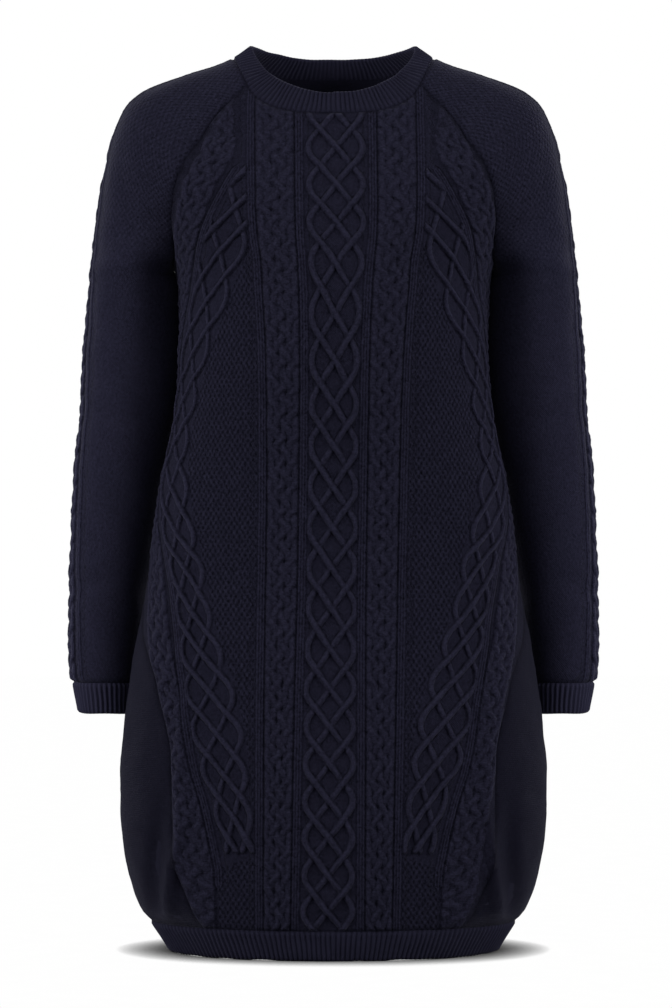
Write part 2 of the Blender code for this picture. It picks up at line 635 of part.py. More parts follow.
# ---------------------------------------------------------------- shared seams
def side_seam_heights():
    count = round((SIDE_SEAM[0].z - HEM_SEAM) / EDGE_STEP)
    return list(np.linspace(HEM_SEAM, SIDE_SEAM[0].z, count + 1))


def side_turn(z):
    return float(np.radians(down(SIDE_SEAM, "turn", z)))


def body_normal(turn, z, step=0.001):
    across = body(turn + step, z) - body(turn - step, z)
    up = body(turn, z + step) - body(turn, z - step)
    normal = np.cross(across, up)
    return normal / np.linalg.norm(normal)


def sleeve_edge_normal(side, row, step=0.01):
    """Outward normal of the sleeve beside its front or back seam."""
    sign = -1 if side == "front" else 1
    inward = sleeve(sign * (1 - step), row) - sleeve(sign, row)
    top, bottom = max(row - step, 0), row + step
    along = sleeve(sign * (1 - step / 2), bottom) - sleeve(sign * (1 - step / 2), top)
    normal = np.cross(along, inward) * -sign
    return normal / np.linalg.norm(normal)


CAP_ROWS = [float(row) for row in np.linspace(0, CAP_END, RAGLAN_SAMPLES)]
CAP_KNOTS = ROW_KNOTS[:CAP_END + 1]


def raglan_place(side, row):
    """Turn and height of a raglan seam point on the body."""
    turn = float(smooth(CAP_KNOTS, SEAM_TURN[side], row))
    return turn, float(smooth(CAP_KNOTS, column(CAP, side + "_z"), row))


def raglan_normal(side, row, own):
    """Normal shared by panel and sleeve, or a piece's own one where the seam is a deep fold."""
    turn, z = raglan_place(side, row)
    panel = body_normal(turn, z)
    arm = sleeve_edge_normal(side, row)
    shared = (panel + arm) / max(np.linalg.norm(panel + arm), 1e-6)
    weight = float(np.clip((np.dot(panel, arm) - 0.2) / 0.5, 0, 1))
    mixed = shared * weight + (panel if own == "panel" else arm) * (1 - weight)
    return mixed / np.linalg.norm(mixed)


def flip(vector):
    """The mirror image of a point or normal."""
    return np.array([-vector[0], vector[1], vector[2]])


def front_neck(count=15):
    """Points of the front neck seam from one raglan seam to the other, as (x, z)."""
    end = math.asin((CAP[0].front_x / NECK_SEAM_HALF) ** (NECK_SEAM_POWER / 2))
    found = []
    for part in np.linspace(-1, 1, count):
        angle = end * part
        x = NECK_SEAM_HALF * powered(np.sin(angle), 2 / NECK_SEAM_POWER)
        z = -NECK_SEAM_DROP * math.cos(angle) ** (2 / NECK_SEAM_POWER)
        found.append((float(x), float(z)))
    ends_z = CAP[0].front_z - found[0][1]
    return [(x, z + ends_z * abs(part) ** 6)
            for (x, z), part in zip(found, np.linspace(-1, 1, count))]


def back_neck(count=13):
    found = []
    for part in np.linspace(-1, 1, count):
        x = CAP[0].back_x * part
        z = -BACK_NECK_DROP + (CAP[0].back_z + BACK_NECK_DROP) * part ** 4
        found.append((float(x), float(z)))
    return found


def hem_columns(end):
    """Hem points between the two side seams, left to right, ends left out."""
    count = max(4, round(2 * end / EDGE_STEP))
    return [(float(u), HEM_SEAM) for u in np.linspace(-end, end, count + 1)[1:-1]]


def panel_outline(side):
    """Flat outline of the front or back and the raglan row of each point, else None.

    The order is side seam, raglan, neck, raglan, side seam, hem. u rises to the panel's right
    as it is seen from outside.
    """
    def distance(turn, z):
        walked = BODY_MAP.distance_at(turn, z)
        return walked if side == "front" else BODY_MAP.distance_at(math.pi, z) - walked

    half = [(distance(side_turn(z), z), z, None) for z in side_seam_heights()[:-1]]
    for row in CAP_ROWS[::-1]:
        turn, z = raglan_place(side, row)
        half.append((distance(turn, z), z, row))
    curve = front_neck() if side == "front" else back_neck()
    for x, z in curve[:len(curve) // 2:-1][1:]:
        turn = float(turn_of(x, z))
        half.append((distance(turn if side == "front" else math.pi - turn, z), z, None))
    centre = (0.0, curve[len(curve) // 2][1], None)
    left = [(-u, v, row) for u, v, row in half[::-1]]
    hem = [(u, v, None) for u, v in hem_columns(half[0][0])]
    return half + [centre] + left + hem


def panel_seams(side, outline):
    """Shared normal of each outline point of the front or back."""
    found = []
    for u, _, row in outline:
        normal = None if row is None else raglan_normal(side, row, "panel")
        # u rises towards +X on the front and towards -X on the back.
        other_half = (u < 0) if side == "front" else (u > 0)
        found.append(flip(normal) if row is not None and other_half else normal)
    return found


SLEEVE_END = sleeve_length(CUFF_SEAM_ROW)
UNDERARM = sleeve_length(CAP_END)
NECK_COLUMNS = 16
CUFF_COLUMNS = 16


def sleeve_outline():
    """Flat outline of the +X sleeve: (u, v, side and row of a raglan seam, inset or not)."""
    neck_front, neck_back = sleeve_reach("front", 0), sleeve_reach("back", 0)
    found = [(float(u), 0.0, None, True)
             for u in np.linspace(-neck_front, neck_back, NECK_COLUMNS + 1)[1:-1]]
    edges = {}
    for side, sign in (("front", -1), ("back", 1)):
        seam = [(sign * sleeve_reach(side, row), sleeve_length(row), (side, row), True)
                for row in CAP_ROWS[:-1]]
        count = round((SLEEVE_END - UNDERARM) / (1.4 * EDGE_STEP))
        for v in np.linspace(UNDERARM + SEAM_GAP, SLEEVE_END, count + 1):
            reach = sleeve_reach(side, sleeve_row(v))
            seam.append((sign * reach, float(v), None, False))
        edges[side] = seam
    low_front, low_back = edges["front"][-1][0], edges["back"][-1][0]
    cuff = [(float(u), SLEEVE_END, None, True)
            for u in np.linspace(low_back, low_front, CUFF_COLUMNS + 1)[1:-1]]
    return found + edges["back"] + cuff + edges["front"][::-1]


# ---------------------------------------------------------------- the pieces
def tabled(table, side, name="centre"):
    return lambda z: side * float(down(table, name, z))


def centre_turn(turns):
    return float(smooth(column(CENTRE_TURNS, "turns"), column(CENTRE_TURNS, "z"), turns))


def side_turn_height(turns):
    return SIDE_LATTICE_SPAN[0] - turns * SIDE_DIAMOND


def sleeve_middle(v):
    """Middle of the sleeve's braid at a distance v down from the neck."""
    return float(smooth(column(SLEEVE_BRAID, "down"), column(SLEEVE_BRAID, "centre"), v))


def raised(relief, found):
    for u, v in found:
        relief.point(u, v, 0.0)


def front_piece(collection):
    whole = panel_outline("front")
    outline = inset([(u, v) for u, v, _ in whole], SEAM_GAP / 2)
    relief = Relief(outline)
    lattice(relief, "centre", tabled(CENTRE_LATTICE, 1), tabled(CENTRE_LATTICE, 1, "half_width"),
            centre_turn, (CENTRE_TURNS[0].turns, CENTRE_TURNS[-1].turns))
    for side in (-1, 1):
        rib_line(relief, ("line", side), tabled(INNER_LINE, side), (-0.056, -0.850))
        rib_line(relief, ("outer line", side), tabled(OUTER_LINE, side), (-0.045, -0.850))
        rib_line(relief, ("side line", side), tabled(SIDE_LINE, side), SIDE_LINE_SPAN, 0.030)
        braid(relief, ("inner", side), tabled(INNER_BRAID, side), INNER_BRAID_SPAN, side=side)
        diamonds = (SIDE_LATTICE_SPAN[0] - SIDE_LATTICE_SPAN[1]) / SIDE_DIAMOND
        lattice(relief, ("side", side), tabled(SIDE_LATTICE, side),
                tabled(SIDE_LATTICE, 1, "half_width"), side_turn_height, (0, diamonds))
        braid(relief, ("side braid", side), tabled(SIDE_BRAID, side), SIDE_BRAID_SPAN, side=side)
    wide = max(u for u, v in outline)
    tall = (HEM_SEAM, CAP[0].front_z)
    raised(relief, plain_ground(relief, PLAIN_STEP, (-wide, wide), tall, 0.012))
    plain = plain_ground(Relief(outline), INNER_STEP, (-wide, wide), tall, 0.0)
    points, faces = shell(on_front, outline, relief.parts(), plain, 1,
                          panel_seams("front", whole))
    make_object("front", points, faces, collection)


def back_piece(collection):
    whole = panel_outline("back")
    outline = inset([(u, v) for u, v, _ in whole], SEAM_GAP / 2)
    relief = Relief(outline)
    wide = max(u for u, v in outline)
    tall = (HEM_SEAM, CAP[0].back_z)
    raised(relief, plain_ground(relief, PLAIN_STEP, (-wide, wide), tall, 0.0))
    plain = plain_ground(Relief(outline), INNER_STEP, (-wide, wide), tall, 0.0)
    points, faces = shell(on_back, outline, relief.parts(), plain, 1, panel_seams("back", whole))
    make_object("back", points, faces, collection)


def sleeve_pieces(collection):
    whole = sleeve_outline()
    moved = inset([(u, v) for u, v, _, _ in whole], SEAM_GAP / 2)
    outline = []
    for (u, v, _, free), (near_u, near_v) in zip(whole, moved):
        low = v > SLEEVE_END - 1e-6
        kept_v = SLEEVE_END - SEAM_GAP / 2 if low else v
        outline.append((near_u, near_v) if free else (u, kept_v))
    for index, (u, v, _, free) in enumerate(whole):
        if not free:
            side = "front" if u < 0 else "back"
            reach = sleeve_reach(side, sleeve_row(outline[index][1]))
            outline[index] = (math.copysign(reach, u), outline[index][1])
    seams = [None if place is None else raglan_normal(place[0], place[1], "sleeve")
             for _, _, place, _ in whole]
    relief = Relief(outline)
    braid(relief, "braid", sleeve_middle, (0.010, SLEEVE_END - 0.008), SLEEVE_BRAID_PERIOD)
    for side in (-1, 1):
        rib_line(relief, ("line", side), lambda v, s=side: sleeve_middle(v) + s * SLEEVE_LINE,
                 (0.010, SLEEVE_END - 0.008), 0.040)
    wide = max(abs(u) for u, v in outline)
    span = (0.0, SLEEVE_END)
    raised(relief, plain_ground(relief, SLEEVE_STEP, (-wide, wide), span, 0.010))
    plain = plain_ground(Relief(outline), SLEEVE_INNER_STEP, (-wide, wide), span, 0.0)
    points, faces = shell(on_sleeve, outline, relief.parts(), plain, -1, seams)
    make_object("sleeve_left", points, faces, collection)
    points, faces = mirrored(points, faces)
    make_object("sleeve_right", points, faces, collection)


def walk(loop, count=0):
    """Samples round a closed loop of points with normals, with every point of the loop kept.

    Without a count only the loop's own points come back. The last array holds each sample's
    place round the loop, 0 to 1.
    """
    spots = np.array([point for point, _ in loop] + [loop[0][0]])
    normals = np.array([normal for _, normal in loop] + [loop[0][1]])
    walked = np.concatenate([[0], np.cumsum(np.linalg.norm(np.diff(spots, axis=0), axis=1))])
    at = walked[:-1].copy()
    if count:
        at = np.linspace(0, walked[-1], count, endpoint=False)
        for corner in walked[:-1]:
            at[np.argmin(np.abs(at - corner))] = corner
    found = np.stack([np.interp(at, walked, spots[:, i]) for i in range(3)], axis=1)
    facing = np.stack([np.interp(at, walked, normals[:, i]) for i in range(3)], axis=1)
    return found, facing / np.linalg.norm(facing, axis=1)[:, None], at / walked[-1]


def zipped(first, second, first_at, second_at):
    """Triangles between two closed loops of unlike counts, matched by their places in 0..1."""
    faces = []
    i = j = 0
    while i < len(first) or j < len(second):
        next_i = first_at[i + 1] if i + 1 < len(first) else (1.0 if i < len(first) else 9.0)
        next_j = second_at[j + 1] if j + 1 < len(second) else (1.0 if j < len(second) else 9.0)
        a, b = first[i % len(first)], second[j % len(second)]
        if next_i <= next_j:
            faces.append((a, first[(i + 1) % len(first)], b))
            i += 1
        else:
            faces.append((a, second[(j + 1) % len(second)], b))
            j += 1
    return faces


def ribbed_ring(seam, edge_of, pitch):
    """Closed ribbed band between a seam and a free edge.

    seam is a loop of points with normals that runs anticlockwise seen from the side the free
    edge is on; edge_of gives the free edge's point for each seam point.
    """
    length = sum(np.linalg.norm(seam[i][0] - seam[i - 1][0]) for i in range(len(seam)))
    rings, places = [], []
    for count in (2 * round(length / pitch), 0):
        low, facing, place = walk(seam, count)
        high = np.array([edge_of(point) for point in low])
        along = high - low
        along /= np.linalg.norm(along, axis=1)[:, None]
        round_way = np.roll(high, -1, axis=0) - np.roll(high, 1, axis=0)
        high_facing = np.cross(round_way, along)
        high_facing /= np.linalg.norm(high_facing, axis=1)[:, None]
        low = low + along * SEAM_GAP / 2
        if count:
            rise = RIB_RISE * (np.arange(count) % 2 == 0)[:, None]
            rings += [low + facing * rise, high + high_facing * rise]
        else:
            rings += [low - facing * WALL, high - high_facing * WALL]
        places.append(place)
    starts = np.cumsum([0] + [len(ring) for ring in rings])
    loops = [list(range(starts[i], starts[i + 1])) for i in range(4)]
    faces = []
    for a, b in ((loops[0], loops[1]), (loops[3], loops[2])):
        size = len(a)
        for i in range(size):
            after = (i + 1) % size
            faces.append((a[i], a[after], b[after]))
            faces.append((a[i], b[after], b[i]))
    faces += zipped(loops[1], loops[3], places[0], places[1])
    faces += [face[::-1] for face in zipped(loops[0], loops[2], places[0], places[1])]
    return np.concatenate(rings), faces


def neck_seam():
    """The whole neck seam, from centre front towards +X and round the back."""
    loop = []
    for x, z in front_neck()[7:-1]:
        turn = float(turn_of(x, z))
        loop.append((body(turn, z), body_normal(turn, z)))
    loop.append((raglan("front", 0.0), raglan_normal("front", 0.0, "panel")))
    across = np.linspace(-sleeve_reach("front", 0), sleeve_reach("back", 0), NECK_COLUMNS + 1)
    for u in across[1:-1]:
        loop.append((on_sleeve(float(u), 0.0), -normal_at(on_sleeve, float(u), 0.0005)))
    loop.append((raglan("back", 0.0), raglan_normal("back", 0.0, "panel")))
    for x, z in back_neck()[:6:-1][1:]:
        turn = math.pi - float(turn_of(x, z))
        loop.append((body(turn, z), body_normal(turn, z)))
    centre_back = (body(math.pi, -BACK_NECK_DROP), body_normal(math.pi, -BACK_NECK_DROP))
    mirror = [(flip(point), flip(normal)) for point, normal in loop[:0:-1]]
    return loop + [centre_back] + mirror


def neck_edge(point):
    """The neckband's free edge above a point of the neck seam."""
    front, back, half = -body(0.0, -NECK_SEAM_DROP)[1], body(math.pi, -BACK_NECK_DROP)[1], 0.100
    ahead = -point[1] / (front if point[1] < 0 else back)
    turn = math.atan2(point[0] / half, ahead)
    falling = math.cos(turn)
    falling = (falling + math.sqrt(falling ** 2 + BAND_BLEND ** 2)) / 2
    falling /= (1 + math.sqrt(1 + BAND_BLEND ** 2)) / 2
    depth = BAND_FRONT if math.cos(turn) > 0 else -BAND_BACK
    return np.array([BAND_HALF * math.sin(turn), depth * math.cos(turn),
                     BAND_BACK_Z + BAND_SIDE_RISE * abs(math.sin(turn)) ** 2.65
                     - BAND_FRONT_DROP * falling])


def hem_seam():
    """The hem seam from centre front towards +X, through the panels' own hem points."""
    girth = BODY_MAP.distance_at(math.pi, HEM_SEAM)
    side = BODY_MAP.distance_at(side_turn(HEM_SEAM), HEM_SEAM)
    front = [u for u, _ in hem_columns(side)]
    back = [girth - abs(u) for u, _ in hem_columns(girth - side)]
    distances = sorted(set([round(u, 9) for u in front if u > -1e-9] + [round(side, 9)]
                           + [round(u, 9) for u in back]))
    right = []
    for distance in distances:
        turn = BODY_MAP.across_at(distance, HEM_SEAM)
        right.append((turn, body(turn, HEM_SEAM), body_normal(turn, HEM_SEAM)))
    loop = [(point, normal) for _, point, normal in right]
    left = [(flip(point), flip(normal)) for turn, point, normal in right[::-1]
            if 1e-6 < turn < math.pi - 1e-6]
    return (loop + left)[::-1]


def hem_edge(point):
    section = body(np.linspace(-math.pi, math.pi, 1441), HEM_SEAM)
    turn = np.linspace(-math.pi, math.pi, 1441)[np.argmin(np.linalg.norm(section - point, axis=1))]
    return body(turn, HEM_EDGE)


def cuff_seam():
    """The sleeve's lower edge as a loop."""
    low = SLEEVE_END
    row = sleeve_row(low)
    across = np.linspace(sleeve_reach("back", row), -sleeve_reach("front", row),
                         CUFF_COLUMNS + 1)[:-1]
    loop = []
    for index, u in enumerate(across):
        normal = -normal_at(on_sleeve, float(u), low)
        if index == 0:
            other = -normal_at(on_sleeve, -float(sleeve_reach("front", row)), low)
            normal = (normal + other) / np.linalg.norm(normal + other)
        loop.append((on_sleeve(float(u), low), normal))
    return loop


def cuff_edge(point):
    row = float(np.interp(-CUFF_EDGE, -TOP_Z, ROW_KNOTS))
    around = np.linspace(-1, 1, 721)
    here = sleeve(around, float(CUFF_SEAM_ROW))
    nearest = around[np.argmin(np.linalg.norm(here - point, axis=1))]
    return sleeve(nearest, row)


def bands(collection):
    points, faces = ribbed_ring(neck_seam(), neck_edge, NECK_RIB)
    make_object("neckband", points, faces, collection)
    points, faces = ribbed_ring(cuff_seam(), cuff_edge, CUFF_RIB)
    make_object("cuff_left", points, faces, collection)
    points, faces = mirrored(points, faces)
    make_object("cuff_right", points, faces, collection)
    points, faces = ribbed_ring(hem_seam(), hem_edge, HEM_RIB)
    make_object("hem_band", points, faces, collection)


def main():
    for old in list(bpy.data.objects):
        bpy.data.objects.remove(old, do_unlink=True)
    collection = bpy.data.collections.new("sweater_dress")
    bpy.context.scene.collection.children.link(collection)
    front_piece(collection)
    back_piece(collection)
    sleeve_pieces(collection)
    bands(collection)


main()
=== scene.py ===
"""Looks of a cable-knit sweater dress: its cloth, cables, ribs and stitches.

Metres, +Z up. The front faces -Y and the wearer's left is +X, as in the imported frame. Every
piece of cloth is a thin shell on the form that its solid has. u and v are distances along the
cloth: on the front and back u runs round the body and v is the height, on a sleeve u runs round
the arm from its top line and v down from the neck.
"""
import math
from collections import namedtuple

import bpy
import numpy as np
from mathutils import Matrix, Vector
from mathutils.geometry import delaunay_2d_cdt


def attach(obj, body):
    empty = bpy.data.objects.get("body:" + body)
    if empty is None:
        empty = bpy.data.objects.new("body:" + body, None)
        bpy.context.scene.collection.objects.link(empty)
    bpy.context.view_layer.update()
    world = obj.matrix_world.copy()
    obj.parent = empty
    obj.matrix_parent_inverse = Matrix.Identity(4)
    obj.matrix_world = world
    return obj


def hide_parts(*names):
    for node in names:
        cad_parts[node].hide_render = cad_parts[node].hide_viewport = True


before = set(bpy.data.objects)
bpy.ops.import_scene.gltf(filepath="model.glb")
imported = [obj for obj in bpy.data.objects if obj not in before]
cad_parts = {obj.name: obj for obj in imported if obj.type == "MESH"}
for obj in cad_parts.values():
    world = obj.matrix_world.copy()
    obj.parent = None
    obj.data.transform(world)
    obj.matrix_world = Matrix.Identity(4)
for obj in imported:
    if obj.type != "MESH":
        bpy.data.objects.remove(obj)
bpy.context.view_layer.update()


def table(names, *rows):
    """Rows with named columns."""
    row_kind = namedtuple("Row", names)
    return tuple(row_kind(*row) for row in rows)


BAND = "z centre"
LATTICE = "z centre half_width"
TURNS = "turns z"
CREASE = "u v length width turn depth"


# ---------------- sizes
WALL = 0.0019             # thickness of the knitted cloth between its cables
HEM_SEAM = -0.8580        # height where the panels meet the hem rib
HEM_EDGE = -0.8870        # lowest edge of the hem rib
CUFF_EDGE = -0.6545       # lowest edge of the cuffs
SQUARE = 0.94             # exponent of the body's sections: 1 is an ellipse
FINE_STEP = 0.00182      # spacing of points on the cables
PLAIN_STEP = 0.0058      # spacing on plain cloth
INNER_STEP = 0.0180       # spacing on the inner face
EDGE_STEP = 0.0030        # spacing along the seams
RIB_ROWS = 14                 # rows of points in a rib's height
RIB_POINTS = 8                # points across a rib
RIB_PITCH = 0.0050        # width of one rib
SEAM_DIP = 0.0007         # how much lower the cloth is at its seams
SEAM_SHADE = 0.55         # how dark it is there
SEAM_WIDTH = 0.0016
WOOLLY = 0.00009          # how unevenly single stitches stand out
STITCH = 0.0021           # width of one knit column
ROW_HEIGHT = 0.0019       # height of one knit row
BRAID_STEP = 0.0118       # height in which two strands of a braid cross
BRAID_TOP = -0.2048       # height of one crossing of the inner braid's first kind
BRAID_RISE = 0.0019
STRAND_SHARE = 0.56       # half the width of a braid's strand, as a share of its lane
LATTICE_STRAND = 0.0029   # half the width of a lattice's strand
LATTICE_RISE = 0.0027
LATTICE_ROUNDING = 0.32   # how soon a lattice's strand turns back at its outer side
LIFT = 0.0009             # how much a strand rises or dips where it crosses another
LINE_RISE = 0.0009        # raised columns between the bands
LINE_HALF = 0.0047
SLOW_RISE = 0.0004        # how uneven the cloth is from place to place
SLOPE_STEP = 0.002        # height over which a band's slant is measured
NECK_POINTS = 81          # points of each neck curve
NECK_MIDDLE = NECK_POINTS // 2
MM = 1000.0
ABSENT = 9.0              # distance of a strand that isn't there, in half widths

# Sections of the body, from the neck down. front, back: Y at centre front and centre back;
# widest: Y where the section is widest.
BODY = table(
    "z half_width front back widest",
    (+0.020, 0.098, -0.052, 0.060, 0.000),
    (-0.005, 0.115, -0.057, 0.070, 0.000),
    (-0.030, 0.134, -0.063, 0.077, 0.000),
    (-0.060, 0.163, -0.073, 0.084, 0.000),
    (-0.085, 0.186, -0.083, 0.090, 0.000),
    (-0.110, 0.198, -0.093, 0.094, 0.000),
    (-0.130, 0.195, -0.100, 0.096, 0.000),
    (-0.150, 0.186, -0.106, 0.097, 0.000),
    (-0.170, 0.177, -0.110, 0.098, 0.001),
    (-0.190, 0.168, -0.114, 0.098, 0.005),
    (-0.212, 0.160, -0.117, 0.098, 0.010),
    (-0.240, 0.1545, -0.120, 0.096, 0.006),
    (-0.300, 0.1530, -0.123, 0.092, -0.003),
    (-0.360, 0.1580, -0.120, 0.086, -0.008),
    (-0.420, 0.1705, -0.116, 0.082, -0.011),
    (-0.480, 0.1790, -0.117, 0.083, -0.012),
    (-0.540, 0.1885, -0.121, 0.090, -0.012),
    (-0.600, 0.2000, -0.127, 0.098, -0.012),
    (-0.660, 0.2080, -0.132, 0.104, -0.012),
    (-0.710, 0.2125, -0.134, 0.106, -0.012),
    (-0.745, 0.2125, -0.134, 0.105, -0.012),
    (-0.780, 0.2098, -0.132, 0.103, -0.012),
    (-0.810, 0.2042, -0.129, 0.100, -0.012),
    (-0.835, 0.1965, -0.126, 0.097, -0.012),
    (-0.848, 0.1905, -0.124, 0.095, -0.012),
    (-0.858, 0.1815, -0.1225, 0.0935, -0.012),
    (-0.870, 0.1712, -0.1210, 0.0920, -0.012),
    (-0.880, 0.1655, -0.1200, 0.0910, -0.012),
    (-0.892, 0.1620, -0.1190, 0.0900, -0.012),
)

# The seam between front and back, as an angle round the body from centre front.
SIDE_SEAM = table(
    "z turn",
    (-0.212, 90), (-0.250, 93), (-0.310, 101), (-0.380, 110), (-0.440, 111), (-0.490, 105),
    (-0.530, 92), (-0.552, 82), (-0.573, 74.5), (-0.597, 64.5), (-0.615, 59), (-0.637, 55),
    (-0.663, 50.5), (-0.690, 47.5), (-0.730, 46.7), (-0.770, 46.7), (-0.800, 46.5),
    (-0.833, 44.5), (-0.858, 43),
)

# Rows of the sleeve's cap, from the neck to the underarm. top: the line over the shoulder and
# down the outside of the arm; front, back: the raglan seams; axis_y: Y of the top line;
# open: how far round each half of a row reaches, 180 being a closed ring;
# depth: half the arm's thickness, in front of and behind the axis.
CAP = table(
    "top_x top_z axis_y front_x front_z front_open front_depth back_x back_z back_open back_depth",
    (0.0998, +0.0011, 0.003, 0.0855, -0.0288, 58, 0.0621, 0.0820, -0.0040, 60, 0.0550),
    (0.1314, -0.0106, 0.004, 0.1005, -0.0450, 62, 0.0630, 0.1000, -0.0280, 62, 0.0550),
    (0.1683, -0.0222, 0.005, 0.1180, -0.0640, 66, 0.0655, 0.1185, -0.0520, 66, 0.0560),
    (0.1924, -0.0336, 0.006, 0.1290, -0.0820, 69, 0.0714, 0.1320, -0.0740, 69, 0.0590),
    (0.2063, -0.0459, 0.006, 0.1412, -0.0980, 72, 0.0729, 0.1430, -0.0930, 72, 0.0605),
    (0.2134, -0.0578, 0.006, 0.1490, -0.1120, 75, 0.0731, 0.1505, -0.1090, 76, 0.0600),
    (0.2206, -0.0762, 0.006, 0.1549, -0.1270, 79, 0.0710, 0.1560, -0.1250, 88, 0.0560),
    (0.2284, -0.1105, 0.007, 0.1585, -0.1460, 85, 0.0672, 0.1600, -0.1450, 110, 0.0530),
    (0.2336, -0.1402, 0.008, 0.1603, -0.1630, 92, 0.0611, 0.1612, -0.1630, 126, 0.0510),
    (0.2375, -0.1700, 0.010, 0.1590, -0.1800, 106, 0.0578, 0.1603, -0.1800, 140, 0.0500),
    (0.2409, -0.1980, 0.011, 0.1575, -0.1970, 128, 0.0550, 0.1580, -0.1970, 152, 0.0500),
    (0.2424, -0.2120, 0.010, 0.1600, -0.2120, 180, 0.0505, 0.1600, -0.2120, 180, 0.0500),
)

# Rings of the arm below the underarm, down to the end of the cuff.
ARM = table(
    "z outer inner axis_y front_depth back_depth",
    (-0.2165, 0.2427, 0.1562, 0.0112, 0.0504, 0.0498),
    (-0.2240, 0.2434, 0.1528, 0.0134, 0.0503, 0.0495),
    (-0.2400, 0.2451, 0.1515, 0.018, 0.0500, 0.0490),
    (-0.3000, 0.2508, 0.1500, 0.026, 0.0485, 0.0475),
    (-0.3600, 0.2555, 0.1570, 0.031, 0.0470, 0.0460),
    (-0.4200, 0.2606, 0.1680, 0.035, 0.0455, 0.0445),
    (-0.4800, 0.2634, 0.1775, 0.037, 0.0440, 0.0430),
    (-0.5400, 0.2658, 0.1870, 0.040, 0.0420, 0.0410),
    (-0.5900, 0.2660, 0.1920, 0.042, 0.0400, 0.0390),
    (-0.6140, 0.2648, 0.1945, 0.043, 0.0385, 0.0375),
    (-0.6235, 0.2630, 0.1957, 0.043, 0.0365, 0.0360),
    (-0.6330, 0.2608, 0.1966, 0.043, 0.0350, 0.0345),
    (-0.6580, 0.2572, 0.1975, 0.043, 0.0335, 0.0330),
)
CUFF_SEAM_ROW = len(CAP) + 10         # the ring where the sleeve meets its cuff

# Neck: the seam where the panels end, and the band's upper edge
NECK_SEAM_HALF = 0.0885   # half width of the front neck curve
NECK_SEAM_DROP = 0.0600   # its depth below the origin at centre front
NECK_SEAM_POWER = 3.0     # its squareness
BACK_NECK_DROP = 0.0120   # depth of the back neck curve at centre back
BAND_HALF = 0.0812        # half width of the neck opening
BAND_FRONT = -0.0625      # Y of the band's edge at centre front
BAND_BACK = 0.0660        # Y of the band's edge at centre back
BAND_BACK_Z = 0.0080      # height of the band's edge at centre back
BAND_SIDE_RISE = 0.0098   # how much higher it is at the sides
BAND_FRONT_DROP = 0.0467  # how far it falls from centre back to centre front
BAND_BLEND = 0.20         # softness of the change from the level back to the falling front

# Bands of stitches on the front. centre: distance from centre front along the cloth.
INNER_LINE = table(
    BAND,
    (-0.040, 0.0360), (-0.150, 0.0358), (-0.178, 0.0352), (-0.208, 0.0328), (-0.238, 0.0310),
    (-0.298, 0.0294), (-0.400, 0.0288), (-0.520, 0.0288), (-0.580, 0.0294), (-0.660, 0.0302),
    (-0.740, 0.0308), (-0.858, 0.0316),
)
OUTER_LINE = table(
    BAND,
    (-0.040, 0.0840), (-0.150, 0.0834), (-0.178, 0.0822), (-0.208, 0.0782), (-0.238, 0.0763),
    (-0.267, 0.0740), (-0.298, 0.0721), (-0.355, 0.0702), (-0.440, 0.0689), (-0.660, 0.0682),
    (-0.740, 0.0676), (-0.858, 0.0668),
)
# How far the knitted pattern of the front lies towards +X, and how much higher its +X side is.
PATTERN = table(
    "z across rise",
    (-0.060, 0.0020, -0.004), (-0.170, 0.0028, -0.004), (-0.240, 0.0020, -0.009),
    (-0.330, 0.0008, -0.006), (-0.440, -0.0005, 0.002), (-0.540, -0.0020, 0.008),
    (-0.640, -0.0034, 0.0125), (-0.740, -0.0044, 0.0125), (-0.858, -0.0056, 0.0125),
)
SIDE_LINE = table(
    BAND,
    (-0.110, 0.092), (-0.132, 0.106), (-0.163, 0.125), (-0.195, 0.142), (-0.233, 0.160),
    (-0.277, 0.182), (-0.340, 0.205), (-0.400, 0.211), (-0.450, 0.201), (-0.505, 0.176),
    (-0.550, 0.164), (-0.590, 0.1575), (-0.635, 0.1495), (-0.673, 0.1440), (-0.702, 0.1380),
    (-0.740, 0.1260), (-0.770, 0.1190), (-0.800, 0.1130),
)
SIDE_BRAID = table(
    BAND,
    (-0.080, 0.108), (-0.100, 0.116), (-0.130, 0.134), (-0.163, 0.150), (-0.195, 0.166),
    (-0.233, 0.184), (-0.277, 0.205), (-0.340, 0.228), (-0.400, 0.234), (-0.450, 0.224),
    (-0.505, 0.201), (-0.550, 0.190), (-0.590, 0.181), (-0.635, 0.167), (-0.700, 0.156),
    (-0.740, 0.147), (-0.770, 0.141), (-0.800, 0.134), (-0.858, 0.113),
)
SIDE_LATTICE = table(
    LATTICE,
    (-0.110, 0.0800, 0.024), (-0.132, 0.0880, 0.025), (-0.163, 0.1010, 0.026),
    (-0.195, 0.1150, 0.026), (-0.247, 0.1370, 0.025), (-0.297, 0.1600, 0.025),
    (-0.343, 0.1750, 0.025), (-0.390, 0.1820, 0.024), (-0.450, 0.1720, 0.023),
    (-0.505, 0.1520, 0.019), (-0.550, 0.1420, 0.018), (-0.590, 0.1320, 0.021),
    (-0.626, 0.1230, 0.024), (-0.665, 0.1150, 0.025), (-0.700, 0.1080, 0.022),
    (-0.740, 0.0990, 0.017), (-0.800, 0.0880, 0.013),
)
CENTRE_LATTICE = table(
    LATTICE,
    (-0.060, 0.0, 0.0262), (-0.170, 0.0, 0.0262), (-0.210, 0.0, 0.0246), (-0.300, 0.0, 0.0222),
    (-0.350, 0.0, 0.0216), (-0.430, 0.0, 0.0224), (-0.520, 0.0, 0.0229), (-0.858, 0.0, 0.0236),
)
